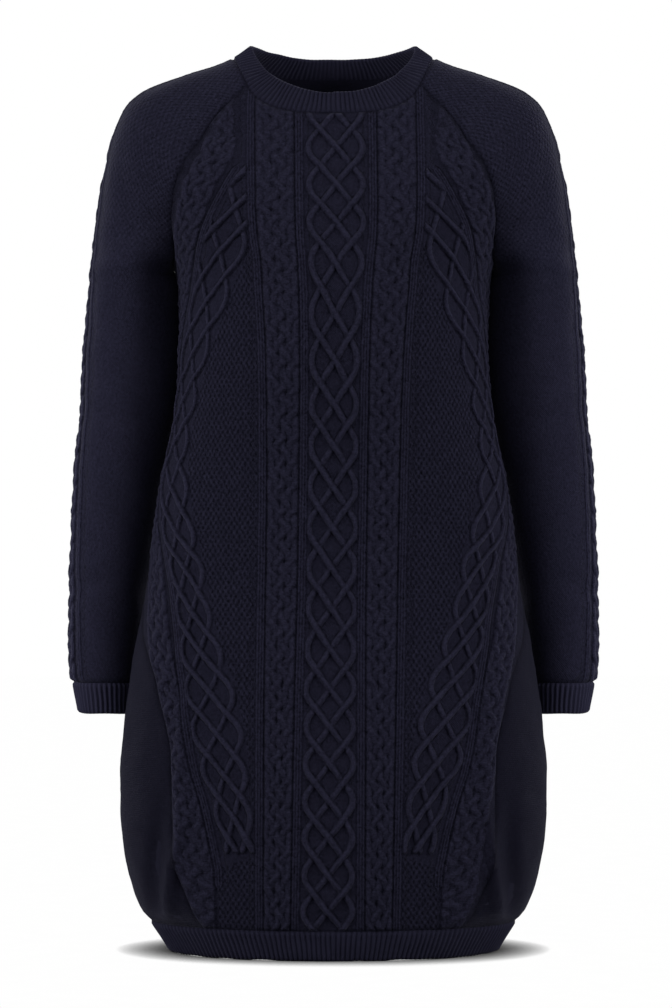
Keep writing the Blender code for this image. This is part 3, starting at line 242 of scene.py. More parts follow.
# Heights at which the centre lattice's two middle strands cross, counted in diamonds.
CENTRE_TURNS = table(
    TURNS,
    (-1, -0.0575), (0, -0.0954), (2, -0.1706), (3, -0.2105), (4, -0.2590), (5, -0.3054),
    (7, -0.3877), (10, -0.5059), (13, -0.6226), (16, -0.7304), (19, -0.8382), (20, -0.8730),
)
# Heights at which a side lattice's strands turn back, counted in diamonds.
SIDE_TURNS = table(
    TURNS,
    (-3, -0.1120), (-2, -0.1540), (-1, -0.1980), (0, -0.2464), (1, -0.2982), (2, -0.3432),
    (3, -0.3843), (4, -0.4273), (5, -0.4723), (6, -0.5084), (7, -0.5505), (8, -0.5876),
    (9, -0.6267), (10, -0.6668), (12, -0.7470), (14, -0.8270),
)

LATTICE_TOP = -0.108      # where the side lattices begin
LATTICE_END = -0.780      # and where their foot tapers from
TURNOVER = (-0.405, -0.425)   # where their outward strands go from above to below
SIDE_LINE_ENDS = (-0.116, -0.815)
LINE_ENDS = (0.0, -0.900)     # past the neck and the hem
MOSS_SPREADS = (-0.782, -0.800)   # where moss takes over below a side lattice
BRAID_FOOT = (-0.750, -0.835)     # where an outer braid widens
OUTER_LANE = 0.0066       # width of one of its lanes
FOOT_LANE = 0.0036        # and how much wider it becomes
OUTER_HALF = 0.0175       # half its width
FOOT_HALF = 0.0100        # and how much that grows
CENTRE_BOLD, SIDE_BOLD = 0.8, 0.9             # how deep the gaps beside the strands look: the strength of their painted shade, and of the strands' height and painted crest highlight
BRAID_BOLD, OUTER_BOLD, SLEEVE_BOLD = 0.30, 0.35, 0.8

SLEEVE_BRAID_PERIOD = 0.030
SLEEVE_LINE = 0.0240      # the rib lines beside the sleeve's braid, from its middle
SLEEVE_MOSS = 0.05        # how far into moss the shoulder is, in mm
SLEEVE_PAINTED_LIGHT = 1.22        # painted light: how much paler the shoulders are made than the front
ARM_PAINTED_LIGHT = 0.30           # painted light too: how much paler again the arms are made than the shoulders
# painted shade: how much darker the back, which shows at the sides, is made than the front
BACK_PAINTED_SHADE = 0.69
INNER_RIB_PAINTED_LIGHT = 0.70          # painted light: how much paler a rib's inner face is made
# Middle of the sleeve's braid, from the top line towards the back, by distance from the neck.
SLEEVE_BRAID = table(
    "down centre",
    (0.0, 0.026), (0.10, 0.022), (0.18, 0.015), (0.30, 0.006), (0.45, 0.000), (0.72, -0.007),
)

# Soft creases: troughs where depth is above 0, ridges below.
FRONT_CREASES = table(
    CREASE,
    (0.200, -0.262, 0.090, 0.010, -62, 0.0012),
    (-0.203, -0.258, 0.085, 0.011, -118, 0.0012),
)
# by distance from centre front, on the front and on the back alike
CORNER_CREASES = table(
    CREASE,
    (-0.153, -0.715, 0.150, 0.008, 90, -0.0042),
    (-0.166, -0.812, 0.100, 0.007, 79, -0.0070),
    (-0.188, -0.800, 0.110, 0.009, 80, 0.0060),
    (0.153, -0.725, 0.140, 0.008, 90, -0.0036),
    (0.164, -0.815, 0.100, 0.007, 101, -0.0064),
    (0.187, -0.806, 0.110, 0.009, 100, 0.0055),
)
BACK_CREASES = table(
    CREASE,
    (0.120, -0.270, 0.100, 0.014, 62, 0.0030),
    (-0.118, -0.280, 0.090, 0.013, 118, 0.0030),
    (0.020, -0.420, 0.200, 0.020, 6, 0.0025),
    (-0.060, -0.470, 0.160, 0.018, -8, 0.0020),
)
SLEEVE_CREASES = table(
    CREASE,
    (-0.062, 0.250, 0.090, 0.011, 28, 0.0012),
    (-0.055, 0.290, 0.080, 0.012, 20, 0.0010),
    (0.058, 0.262, 0.090, 0.010, -26, 0.0026),
    (-0.035, 0.430, 0.090, 0.012, -18, 0.0020),
    (0.040, 0.455, 0.100, 0.012, 14, 0.0022),
    (-0.030, 0.610, 0.080, 0.010, 12, 0.0018),
    (0.030, 0.640, 0.080, 0.010, -15, 0.0018),
)


# ---------------- curves through tables
def smooth(knots, values, at):
    """Monotone cubic through (knots, values), which are in rising order of knots."""
    knots = np.asarray(knots, float)
    values = np.asarray(values, float)
    step = np.diff(knots)
    slope = np.diff(values) / step
    tangent = np.zeros_like(values)
    tangent[0], tangent[-1] = slope[0], slope[-1]
    before, after = slope[:-1], slope[1:]
    same = before * after > 0
    weight_a = (2 * step[1:] + step[:-1])[same]
    weight_b = (step[1:] + 2 * step[:-1])[same]
    mean = (weight_a + weight_b) / (weight_a / before[same] + weight_b / after[same])
    tangent[1:-1][same] = mean
    at = np.clip(np.asarray(at, float), knots[0], knots[-1])
    i = np.clip(np.searchsorted(knots, at) - 1, 0, len(step) - 1)
    t = (at - knots[i]) / step[i]
    ease = t * t * (3 - 2 * t)
    return (values[i] * (1 - ease) + values[i + 1] * ease
            + step[i] * tangent[i] * t * (1 - t) ** 2
            - step[i] * tangent[i + 1] * t * t * (1 - t))


def column(table, name):
    return np.array([getattr(row, name) for row in table], float)


def down(table, name, z):
    """Value of a column at height z, in a table that runs from top to bottom."""
    return smooth(column(table, "z")[::-1], column(table, name)[::-1], z)


def powered(value, power):
    return np.sign(value) * np.abs(value) ** power


# ---------------- the body's outer face
def body(turn, z):
    """Point on the body at an angle from centre front (towards +X) and a height."""
    z = np.asarray(z, float)
    half = down(BODY, "half_width", z)
    widest = down(BODY, "widest", z)
    ahead = np.cos(turn)
    reach = np.where(ahead > 0, widest - down(BODY, "front", z), down(BODY, "back", z) - widest)
    x = half * powered(np.sin(turn), SQUARE)
    y = widest - reach * powered(ahead, SQUARE)
    return np.stack([x, y, z + 0 * x], axis=-1)


# ---------------- the sleeve's outer face
def turn_of(x, z):
    """Angle from centre front, or from centre back, where the body has this X."""
    ratio = np.clip(x / down(BODY, "half_width", z), 0, 1)
    return np.arcsin(ratio ** (1 / SQUARE))


CAP_END = len(CAP) - 1
ROW_KNOTS = np.arange(len(CAP) + len(ARM), dtype=float)
CAP_KNOTS = ROW_KNOTS[:CAP_END + 1]
TOP_LINE = [np.concatenate([column(CAP, cap_name), column(ARM, arm_name)]) for cap_name, arm_name
            in (("top_x", "outer"), ("axis_y", "axis_y"), ("top_z", "z"))]
DEPTH = {side: np.concatenate([column(CAP, side + "_depth"), column(ARM, side + "_depth")])
         for side in ("front", "back")}
SEAM_TURN = {"front": turn_of(column(CAP, "front_x"), column(CAP, "front_z")),
             "back": math.pi - turn_of(column(CAP, "back_x"), column(CAP, "back_z"))}


def raglan_place(side, row):
    """Turn and height of a raglan seam point on the body."""
    return (smooth(CAP_KNOTS, SEAM_TURN[side], row),
            smooth(CAP_KNOTS, column(CAP, side + "_z"), row))


def top_line(row):
    """Point on the sleeve's top line, over the shoulder and down the arm."""
    return np.stack([smooth(ROW_KNOTS, values, row) for values in TOP_LINE], axis=-1)


def raglan(side, row):
    """Point on a raglan seam, and below the underarm on the arm's inner side."""
    seam = body(*raglan_place(side, np.minimum(row, CAP_END)))
    inner_x = np.concatenate([[CAP[-1].front_x], column(ARM, "inner")])
    arm = top_line(row)
    arm[..., 0] = smooth(ROW_KNOTS[CAP_END:], inner_x, row)
    return np.where((np.asarray(row) <= CAP_END)[..., None], seam, arm)


def sleeve(around, row):
    """Point of the +X sleeve. around: -1 at the front seam, 0 on the top line, 1 at the back."""
    around, row = np.broadcast_arrays(np.asarray(around, float), np.asarray(row, float))
    top = top_line(row)
    result = np.zeros(top.shape)
    for side, sign in (("front", -1), ("back", 1)):
        seam = raglan(side, row)
        opening = np.concatenate([column(CAP, side + "_open"), np.full(len(ARM), 180.0)])
        opening = np.radians(smooth(ROW_KNOTS, opening, row))
        depth = smooth(ROW_KNOTS, DEPTH[side], row)
        outward = top - seam
        width = np.hypot(outward[..., 0], outward[..., 2])
        semi = width / (1 - np.cos(opening))
        part = np.abs(around)
        angle = part * opening
        along = (width - semi + semi * np.cos(angle)) / width
        miss = seam[..., 1] - (top[..., 1] + sign * depth * np.sin(opening))
        y = top[..., 1] + sign * depth * np.sin(angle) + miss * part ** 2
        point = np.stack([seam[..., 0] + along * outward[..., 0], y,
                          seam[..., 2] + along * outward[..., 2]], axis=-1)
        chosen = (around <= 0) if sign < 0 else (around > 0)
        result = np.where(chosen[..., None], point, result)
    return result


# ---------------- distances along the cloth
class ClothMap:
    """Distances along a surface, measured across its rows from where `across` is zero."""

    def __init__(self, point, across_max, along, count=241):
        self.along = along
        steps = np.linspace(0, 1, count)
        across = across_max * steps[None, :] + 0 * along[:, None]
        points = point(across, np.repeat(along[:, None], count, axis=1))
        lengths = np.linalg.norm(np.diff(points, axis=1), axis=2)
        walked = np.concatenate([np.zeros((len(along), 1)), np.cumsum(lengths, axis=1)], 1)
        self.reaches = walked[:, -1]
        self.count = count
        self.limit = across_max
        self.forward = walked
        self.back = np.array([np.interp(steps * row[-1], row, across[0]) for row in walked])

    def _mix(self, table, part, along):
        along = np.clip(along, self.along[0], self.along[-1])
        i = np.clip(np.searchsorted(self.along, along) - 1, 0, len(self.along) - 2)
        t = (along - self.along[i]) / (self.along[i + 1] - self.along[i])
        spot = np.clip(part, 0, 1) * (self.count - 1)
        j = np.clip(spot.astype(int), 0, self.count - 2)
        s = spot - j
        low = table[i, j] * (1 - s) + table[i, j + 1] * s
        high = table[i + 1, j] * (1 - s) + table[i + 1, j + 1] * s
        return low * (1 - t) + high * t

    def reach(self, along):
        return np.interp(along, self.along, self.reaches)

    def across_at(self, distance, along):
        distance, along = np.broadcast_arrays(np.asarray(distance, float),
                                              np.asarray(along, float))
        return self._mix(self.back, distance / self.reach(along), along)

    def distance_at(self, across, along):
        across, along = np.broadcast_arrays(np.asarray(across, float), np.asarray(along, float))
        return self._mix(self.forward, across / self.limit, along)


BODY_MAP = ClothMap(body, math.pi, np.linspace(BODY[-1].z, BODY[0].z, 400))


def on_front(u, z):
    """Point at distance u from centre front along the cloth."""
    return body(np.sign(u) * BODY_MAP.across_at(np.abs(u), z), z)


def on_back(u, z):
    """Point at distance u from centre back along the cloth, u rising towards -X."""
    turn = BODY_MAP.across_at(BODY_MAP.reach(z) - np.abs(u), z)
    return body(np.where(np.asarray(u) > 0, -turn, turn), z)


SLEEVE_ROWS = np.linspace(0, ROW_KNOTS[-1], 320)
SLEEVE_TOP = sleeve(0.0, SLEEVE_ROWS)
SLEEVE_LENGTHS = np.concatenate(
    [[0], np.cumsum(np.linalg.norm(np.diff(SLEEVE_TOP, axis=0), axis=1))])
SLEEVE_MAPS = {"front": ClothMap(sleeve, -1.0, SLEEVE_ROWS),
               "back": ClothMap(sleeve, 1.0, SLEEVE_ROWS)}


def sleeve_length(row):
    return np.interp(row, SLEEVE_ROWS, SLEEVE_LENGTHS)


def on_sleeve(u, v):
    """Point of the +X sleeve: u from the top line, rising to the back, v down from the neck."""
    u, v = np.broadcast_arrays(np.asarray(u, float), np.asarray(v, float))
    row = np.interp(v, SLEEVE_LENGTHS, SLEEVE_ROWS)
    front = SLEEVE_MAPS["front"].across_at(np.abs(u), row)
    back = SLEEVE_MAPS["back"].across_at(np.abs(u), row)
    return sleeve(np.where(u < 0, front, back), row)


def unit(vectors):
    return vectors / np.maximum(np.linalg.norm(vectors, axis=-1, keepdims=True), 1e-9)


def normals_on(place, u, v, outward, step=0.0008):
    across = place(u + step, v) - place(u - step, v)
    along = place(u, v + step) - place(u, v - step)
    return unit(np.cross(across, along)) * outward


# ---------------- shared seams
CAP_ROWS = np.linspace(0, CAP_END, 100)
SLEEVE_END = float(sleeve_length(CUFF_SEAM_ROW))
UNDERARM = float(sleeve_length(CAP_END))


def body_normal(turn, z, step=0.001):
    across = body(turn + step, z) - body(turn - step, z)
    up = body(turn, z + step) - body(turn, z - step)
    return unit(np.cross(across, up))


def raglan_normal(side, row, own, step=0.01):
    """Normal shared by panel and sleeve, or a piece's own one where the seam is a deep fold."""
    turn, z = raglan_place(side, row)
    panel = body_normal(turn, z)
    sign = -1 if side == "front" else 1
    inward = sleeve(sign * (1 - step), row) - sleeve(sign, row)
    along = (sleeve(sign * (1 - step / 2), row + step)
             - sleeve(sign * (1 - step / 2), np.maximum(row - step, 0)))
    arm = unit(np.cross(along, inward)) * -sign
    shared = unit(panel + arm)
    weight = np.clip((np.sum(panel * arm, axis=-1) - 0.2) / 0.5, 0, 1)[..., None]
    return unit(shared * weight + (panel if own == "panel" else arm) * (1 - weight))


def mirror(vectors):
    return vectors * np.array([-1.0, 1.0, 1.0])


def both_sides(points, normals):
    """A closed loop from its +X half, which starts and ends in the middle."""
    return (np.concatenate([points, mirror(points[-2:0:-1])]),
            np.concatenate([normals, mirror(normals[-2:0:-1])]))


def own_normals(count):
    """Rows that stand for a piece's own normals."""
    return np.full((count, 3), np.nan)


def front_neck():
    """Points of the front neck seam from one raglan seam to the other, as (x, z)."""
    end = math.asin((CAP[0].front_x / NECK_SEAM_HALF) ** (NECK_SEAM_POWER / 2))
    part = np.linspace(-1, 1, NECK_POINTS)
    x = NECK_SEAM_HALF * powered(np.sin(end * part), 2 / NECK_SEAM_POWER)
    z = -NECK_SEAM_DROP * np.cos(end * part) ** (2 / NECK_SEAM_POWER)
    return x, z + (CAP[0].front_z - z[0]) * np.abs(part) ** 6


def back_neck():
    part = np.linspace(-1, 1, NECK_POINTS)
    return CAP[0].back_x * part, -BACK_NECK_DROP + (CAP[0].back_z + BACK_NECK_DROP) * part ** 4


def panel_outline(side):
    """Flat outline of the front or back, anticlockwise, with the seam's shared normals.

    u rises to the panel's right as it is seen from outside. A row of the normals is nan where
    the piece's own normal is used.
    """
    front = side == "front"

    def distance(turn, z):
        walked = BODY_MAP.distance_at(turn, z)
        return walked if front else BODY_MAP.reach(z) - walked

    count = round((SIDE_SEAM[0].z - HEM_SEAM) / EDGE_STEP)
    z = np.linspace(HEM_SEAM, SIDE_SEAM[0].z, count + 1)[:-1]
    turn = np.radians(down(SIDE_SEAM, "turn", z))
    spots = [np.stack([distance(turn, z), z], 1)]
    normals = [own_normals(len(z))]
    turn, z = raglan_place(side, CAP_ROWS[::-1])
    spots.append(np.stack([distance(turn, z), z], 1))
    normals.append(raglan_normal(side, CAP_ROWS[::-1], "panel"))
    neck_x, neck_z = front_neck() if front else back_neck()
    x, z = neck_x[-2:NECK_MIDDLE - 1:-1], neck_z[-2:NECK_MIDDLE - 1:-1]
    turn = turn_of(np.abs(x), z)
    spots.append(np.stack([distance(turn if front else math.pi - turn, z), z], 1))
    normals.append(own_normals(len(z)))
    half = np.concatenate(spots)
    facing = np.concatenate(normals)
    keep = half[:, 0] > 1e-6
    half, facing = half[keep], facing[keep]
    centre = np.array([[0.0, neck_z[NECK_MIDDLE]]])
    # The normals above belong to +X: on the back that is the half with u below 0.
    right = facing if front else mirror(facing)
    left = mirror(facing) if front else facing
    count = max(4, round(2 * half[0, 0] / EDGE_STEP))
    hem = np.linspace(-half[0, 0], half[0, 0], count + 1)[1:-1]
    outline = np.concatenate([half, centre, half[::-1] * (-1, 1),
                              np.stack([hem, np.full(len(hem), HEM_SEAM)], 1)])
    shared = np.concatenate([right, own_normals(1), left[::-1], own_normals(len(hem))])
    return outline, shared


def sleeve_outline():
    """Flat outline of the +X sleeve, clockwise as u and v run, with its seams' normals."""
    reach = {side: float(SLEEVE_MAPS[side].reach(0)) for side in ("front", "back")}
    neck = np.linspace(-reach["front"], reach["back"], 50)[1:-1]
    parts = [np.stack([neck, 0 * neck], 1)]
    shared = [own_normals(len(neck))]
    low = {}
    for side, sign in (("back", 1), ("front", -1)):
        rows = CAP_ROWS[:-1]
        seam = np.stack([sign * SLEEVE_MAPS[side].reach(rows), sleeve_length(rows)], 1)
        facing = raglan_normal(side, rows, "sleeve")
        count = round((SLEEVE_END - UNDERARM) / EDGE_STEP)
        v = np.linspace(UNDERARM, SLEEVE_END, count + 1)
        row = np.interp(v, SLEEVE_LENGTHS, SLEEVE_ROWS)
        inner = np.stack([sign * SLEEVE_MAPS[side].reach(row), v], 1)
        edge = np.concatenate([seam, inner])
        normal = np.concatenate([facing, own_normals(len(inner))])
        low[side] = float(inner[-1, 0])
        if side == "front":
            cuff = np.linspace(low["back"], low["front"], 60)[1:-1]
            parts.append(np.stack([cuff, np.full(len(cuff), SLEEVE_END)], 1))
            shared.append(own_normals(len(cuff)))
            edge, normal = edge[::-1], normal[::-1]
        parts.append(edge)
        shared.append(normal)
    return np.concatenate(parts), np.concatenate(shared)


# ---------------- what is raised on the cloth
Strands = namedtuple("Strands", "away lift")      # in half widths, and in lifts; 5 columns each


def strand_heights(strands, rise):
    """Height of the uppermost strand at each point, 0 on the ground."""
    domed = np.sqrt(np.clip(1 - strands.away ** 2, 0, 1))
    there = strands.away < 1
    return np.max(np.where(there, rise * domed ** 0.8 + LIFT * strands.lift * domed, 0.0), axis=1)


def five(parts, filler, size):
    """Columns of up to five strands side by side."""
    return np.stack(list(parts) + [np.full(size, filler)] * (5 - len(parts)), axis=1)


def uneven(u, v, seed, size=0.03):
    """Slow waves between about -1 and 1, different for each seed."""
    draw = np.random.default_rng(seed)
    total = np.zeros(np.broadcast(u, v).shape)
    for _ in range(6):
        angle, phase = draw.uniform(0, 2 * math.pi, 2)
        rate = draw.uniform(0.6, 1.6) * 2 * math.pi / size
        total = total + np.sin((u * math.cos(angle) + v * math.sin(angle)) * rate + phase)
    return total / 3


def lattice(x, z, turns, half, lean, rate, seed, signs):
    """Four strands that cross over each other in open diamonds.

    x is the distance from the lattice's middle, turns the count of diamonds down from its
    first crossing, lean the slope of its middle and rate the diamonds in one metre of height.
    signs tell a strand's place above or below at each half crossing of its way there and back.
    """
    away, lift = [], []
    for strand in range(4):
        q = np.mod(turns + strand, 4.0)
        from_end = np.minimum(np.minimum(q, np.abs(q - 2)), 4 - q)
        rounded = np.where(from_end < LATTICE_ROUNDING,
                           from_end ** 2 / (2 * LATTICE_ROUNDING) + LATTICE_ROUNDING / 2, from_end)
        reach = half * (1 - rounded) / (1 - LATTICE_ROUNDING / 2)
        place = np.where(np.abs(q - 2) <= 1, reach, -reach)
        slope = np.where(from_end < LATTICE_ROUNDING, from_end / LATTICE_ROUNDING, 1.0)
        slope = slope * half * rate * np.where(q < 2, 1, -1)
        tilt = np.sqrt(1 + (lean + slope) ** 2)
        place = place + 0.0006 * uneven(x * 0 + strand, z, seed + strand, 0.05)
        width = LATTICE_STRAND * (1 + 0.08 * uneven(x * 0 + strand, z, seed + 9 + strand, 0.025))
        away.append(np.abs(x - place) / tilt / width)
        crossing = np.round(2 * q).astype(int)
        near = step_in(np.abs(2 * q - crossing), 0.5, 0.1)
        lift.append(np.array(signs)[crossing] * near)
    return Strands(five(away, ABSENT, len(x)), five(lift, 0.0, len(x)))


CENTRE_SIGNS = (0, 1, 1, -1, 0, 1, -1, -1, 0)
OUTWARDS_OVER = (0, 1, 1, 1, 0, -1, -1, -1, 0)


# Where a strand of a five-strand braid lies at the start of each step of its way, and whether
# it passes over (1) or under (-1) its neighbour during that step.
PLAIT = table(
    "lane over",
    (0, 0), (0, 1), (1, -1), (2, 1), (3, -1), (4, 0), (4, 1), (3, -1), (2, 1), (1, -1), (0, 0),
)


def plait(x, run, lane, seed, step=BRAID_STEP):
    """Five-strand braid at a distance x from its middle and run along it, in metres."""
    run = run + 0.0012 * uneven(x, run, seed + 5, 0.04)
    steps = run / step
    number = np.floor(steps).astype(int)
    part = steps - number
    spot = np.clip((part - 0.06) / 0.88, 0, 1)
    ease = spot * spot * (3 - 2 * spot)
    rate = 6 * spot * (1 - spot) / 0.88
    across = x / lane + 2 + 0.12 * uneven(x, run, seed, 0.03)
    lanes, overs = column(PLAIT, "lane"), column(PLAIT, "over")
    away, lift = [], []
    for strand in range(5):
        stage = np.mod(number + 2 * strand, 10)
        start, end = lanes[stage], lanes[stage + 1]
        tilt = np.sqrt(1 + (lane * (end - start) * rate / step) ** 2)
        place = start + (end - start) * ease
        width = STRAND_SHARE * (1 + 0.10 * uneven(x + 0.1 * strand, run, seed + 3, 0.02))
        away.append(np.abs(across - place) / tilt / width)
        lift.append(overs[stage] * np.sin(math.pi * part))
    return Strands(five(away, ABSENT, len(x)), five(lift, 0.0, len(x)))


def kept(strands, out):
    """Strands that end where `out`, a distance past their band's border, rises above 0."""
    return strands._replace(away=strands.away + np.clip(out * MM, 0, ABSENT)[:, None])


def ridge(x, half=LINE_HALF, rise=LINE_RISE):
    """A raised bundle of columns at a distance x."""
    return rise * step_in(np.abs(x), half, 0.6 * half)


def step_in(value, start, end):
    """0 before start, 1 after end, and smooth between them. end may be below start."""
    part = np.clip((value - start) / (end - start), 0, 1)
    return part * part * (3 - 2 * part)


def creased(u, v, table):
    """Height of the soft troughs and ridges of a table. turn is in degrees from u towards v."""
    total = np.zeros(np.shape(u))
    for row in table:
        angle = math.radians(row.turn)
        along = (u - row.u) * math.cos(angle) + (v - row.v) * math.sin(angle)
        across = -(u - row.u) * math.sin(angle) + (v - row.v) * math.cos(angle)
        bend = across + 0.12 * along ** 2 / row.length
        total -= row.depth * (np.exp(-(bend / row.width) ** 2)
                              * np.exp(-np.abs(along / (0.5 * row.length)) ** 3))
    return total


RUN_HEIGHTS = np.linspace(-0.90, 0.0, 900)
RUN_LENGTHS = np.concatenate([[0], np.cumsum(np.hypot(
    np.diff(RUN_HEIGHTS), np.diff(down(SIDE_BRAID, "centre", RUN_HEIGHTS))))])


def side_run(z):
    """Distance up along the outer braid at a height z."""
    return np.interp(z, RUN_HEIGHTS, RUN_LENGTHS)


# What a piece looks like at each point. height: the raised pattern; fold, drape: the creases, the
# first fading at the seams and the second not; away, lift, bold: the strands; moss, purl: how far
# inside such ground, in mm; line: the signed distance to a raised line in mm; the last: its tone,
# a paleness that is darker along the seams, with painted light that makes the sleeves paler and
# painted shade that makes the back darker.
Look = namedtuple("Look", "height fold drape away lift bold moss purl line tone")


def turns_of(table, z):
    """Diamonds down from a lattice's first crossing, and diamonds in a metre of height."""
    knots, values = column(table, "z")[::-1], column(table, "turns")[::-1]
    turns = smooth(knots, values, z)
    return turns, (smooth(knots, values, z - 0.001) - turns) / 0.001


def slant(table, z):
    """How far a band's middle moves outwards in a metre down."""
    return (down(table, "centre", z - SLOPE_STEP) - down(table, "centre", z)) / SLOPE_STEP


def corner_drape(u, z):
    """Folds beside the hem that go on from the front to the back."""
    return creased(u, z, CORNER_CREASES) * step_in(z, HEM_SEAM, HEM_SEAM + 0.016)


def front_look(u, z):
    """Everything that is raised on the front, from one band after the other."""
    shift = down(PATTERN, "across", z)
    reach = np.abs(u - shift)
    inner_line, outer_line = down(INNER_LINE, "centre", z), down(OUTER_LINE, "centre", z)
    side_line = down(SIDE_LINE, "centre", z) + shift
    side_middle = down(SIDE_LATTICE, "centre", z) + shift
    side_half = down(SIDE_LATTICE, "half_width", z)
    size = np.shape(u)
    away, lift = np.full(size + (5,), ABSENT), np.zeros(size + (5,))
    height, bold = np.zeros(size), np.zeros(size)

    def lay(strands, where, rise, boldness):
        nonlocal height, bold, away, lift
        height = np.where(where, strand_heights(strands, rise), height)
        away = np.where(where[:, None], strands.away, away)
        lift = np.where(where[:, None], strands.lift, lift)
        bold = np.where(where, boldness, bold)

    # centre lattice
    turns, rate = turns_of(CENTRE_TURNS, z)
    half = down(CENTRE_LATTICE, "half_width", z)
    strands = lattice(u - shift, z, turns, half, 0.0, rate, 11, CENTRE_SIGNS)
    lay(kept(strands, reach - inner_line + LINE_HALF), reach < inner_line, LATTICE_RISE,
        CENTRE_BOLD)

    # inner braids
    middle = (inner_line + outer_line) / 2
    lane = (outer_line - inner_line - 2 * LINE_HALF) / (4 + 2 * STRAND_SHARE)
    strands = plait(reach - middle, BRAID_TOP - z + 0.5 * BRAID_STEP, lane, 31)
    out = np.abs(reach - middle) - (outer_line - inner_line) / 2 + LINE_HALF
    lay(kept(strands, out), (reach >= inner_line) & (reach < outer_line), BRAID_RISE,
        BRAID_BOLD)

    # side lattices: above the waist the strands that lead outwards lie on top, below the others
    place = z - np.where(u > 0, down(PATTERN, "rise", z), 0.0)
    turns, rate = turns_of(SIDE_TURNS, place)
    strands = lattice(reach - side_middle, z, turns, side_half, slant(SIDE_LATTICE, z), rate, 51,
                      OUTWARDS_OVER)
    strands = strands._replace(lift=strands.lift * (1 - 2 * step_in(z, *TURNOVER))[:, None])
    out = np.maximum(outer_line + LINE_HALF - reach, reach - side_line + LINE_HALF)
    out = np.maximum(np.maximum(out, z - LATTICE_TOP), 0.35 * (LATTICE_END - z))
    lay(kept(strands, out), (reach >= outer_line) & (reach < side_line), LATTICE_RISE, SIDE_BOLD)

    # outer braids, followed across and along their own slant
    middle = down(SIDE_BRAID, "centre", z) + shift
    across = (reach - middle) / np.sqrt(1 + slant(SIDE_BRAID, z) ** 2)
    foot = step_in(z, *BRAID_FOOT)
    strands = plait(across, -side_run(place), OUTER_LANE + FOOT_LANE * foot, 71)
    out = np.maximum(side_line + LINE_HALF - reach, across - OUTER_HALF - FOOT_HALF * foot)
    lay(kept(strands, out), reach >= side_line, BRAID_RISE, OUTER_BOLD)

    # raised columns between the bands
    line = np.full(size, ABSENT)
    for off, (top, bottom) in ((reach - inner_line, LINE_ENDS), (outer_line - reach, LINE_ENDS),
                               (reach - side_line, SIDE_LINE_ENDS)):
        past = np.maximum(z - top, bottom - z)
        height = np.maximum(height, ridge(off) * step_in(past, 0.0, -0.01))
        far = MM * off + np.sign(off) * np.clip(MM * past, 0, ABSENT)
        line = np.where(np.abs(far) < np.abs(line), far, line)

    # moss stitch between the outer columns and the side lattice, purl between the strands
    inner_edge = side_middle - side_half - 1.3 * LATTICE_STRAND
    inner_edge = inner_edge + (side_line - inner_edge) * step_in(z, *MOSS_SPREADS)
    moss = MM * np.minimum(reach - outer_line - LINE_HALF, inner_edge - reach)
    purl = MM * np.maximum(inner_line - reach, np.minimum(reach - inner_edge, side_line - reach))
    height = height + SLOW_RISE * uneven(u, z, 5, 0.05)
    return Look(height, creased(u, z, FRONT_CREASES), corner_drape(u, z), away, lift, bold, moss,
                purl, line, np.ones(size))


def plain_look(height, fold, tone=1.0):
    """A cloth with nothing on it but its knit columns."""
    none, far = np.zeros(np.shape(height)), np.full(np.shape(height), ABSENT)
    fives = none[..., None] + np.zeros(5)
    return Look(height, fold, none, fives + ABSENT, fives, none, -far, -far, far, none + tone)


def back_look(u, z):
    from_front = -np.sign(u) * (BODY_MAP.reach(z) - np.abs(u))
    # The back's darker tone is painted shade.
    look = plain_look(SLOW_RISE * uneven(u, z, 6, 0.05), creased(u, z, BACK_CREASES), BACK_PAINTED_SHADE)
    return look._replace(drape=corner_drape(from_front, z))


def from_braid(u, v):
    """Distance from the middle of the sleeve's braid."""
    return u - smooth(column(SLEEVE_BRAID, "down"), column(SLEEVE_BRAID, "centre"), v)


def sleeve_look(u, v):
    away = from_braid(u, v)
    strands = kept(plait(away, v, OUTER_LANE, 91, 0.5 * SLEEVE_BRAID_PERIOD),
                   np.abs(away) - SLEEVE_LINE + LINE_HALF)
    off = SLEEVE_LINE - np.abs(away)
    height = np.maximum(strand_heights(strands, BRAID_RISE), ridge(off, rise=1.3 * LINE_RISE))
    look = plain_look(height + 0.0005 * uneven(u, v, 7, 0.06), creased(u, v, SLEEVE_CREASES))
    fine = MM * (np.abs(away) - SLEEVE_LINE - LINE_HALF)
    moss = np.minimum(fine, SLEEVE_MOSS - 0.30 * step_in(v, 0.18, 0.34))
    # Painted light: the sleeve's tone makes the shoulders paler than the front, and the arms paler
    # still.
    return look._replace(away=strands.away, lift=strands.lift, bold=look.bold + SLEEVE_BOLD,
                         moss=moss, purl=fine, tone=SLEEVE_PAINTED_LIGHT + ARM_PAINTED_LIGHT * step_in(v, 0.15, 0.40),
                         line=np.where(np.abs(off) * MM < ABSENT, MM * off, ABSENT))


# Where a panel's points lie close together: below FINE_TOP, and so far past its bands.
FINE_TOP = -0.085
FINE_INSIDE, FINE_BESIDE, FINE_OUTSIDE, FINE_SLEEVE = 0.006, 0.001, 0.021, 0.030


def fine_front(u, z):
    shift = down(PATTERN, "across", z)
    reach = np.abs(u - shift)
    low = down(SIDE_LATTICE, "centre", z) + shift - down(SIDE_LATTICE, "half_width", z)
    high = down(SIDE_BRAID, "centre", z) + shift + FINE_OUTSIDE
    outer = down(OUTER_LINE, "centre", z) + LINE_HALF + FINE_BESIDE
    band = (reach > low - FINE_INSIDE) & (reach < high) & (z < FINE_TOP)
    return (reach < outer) | band


def fine_sleeve(u, v):
    return np.abs(from_braid(u, v)) < FINE_SLEEVE


def nowhere(u, v):
    return np.zeros(len(u), bool)


def everywhere(u, v):
    return np.ones(len(u), bool)


# ---------------- closed shells of cloth
def signed_area(spots):
    x, y = spots[:, 0], spots[:, 1]
    return 0.5 * float(np.sum(x * np.roll(y, -1) - np.roll(x, -1) * y))


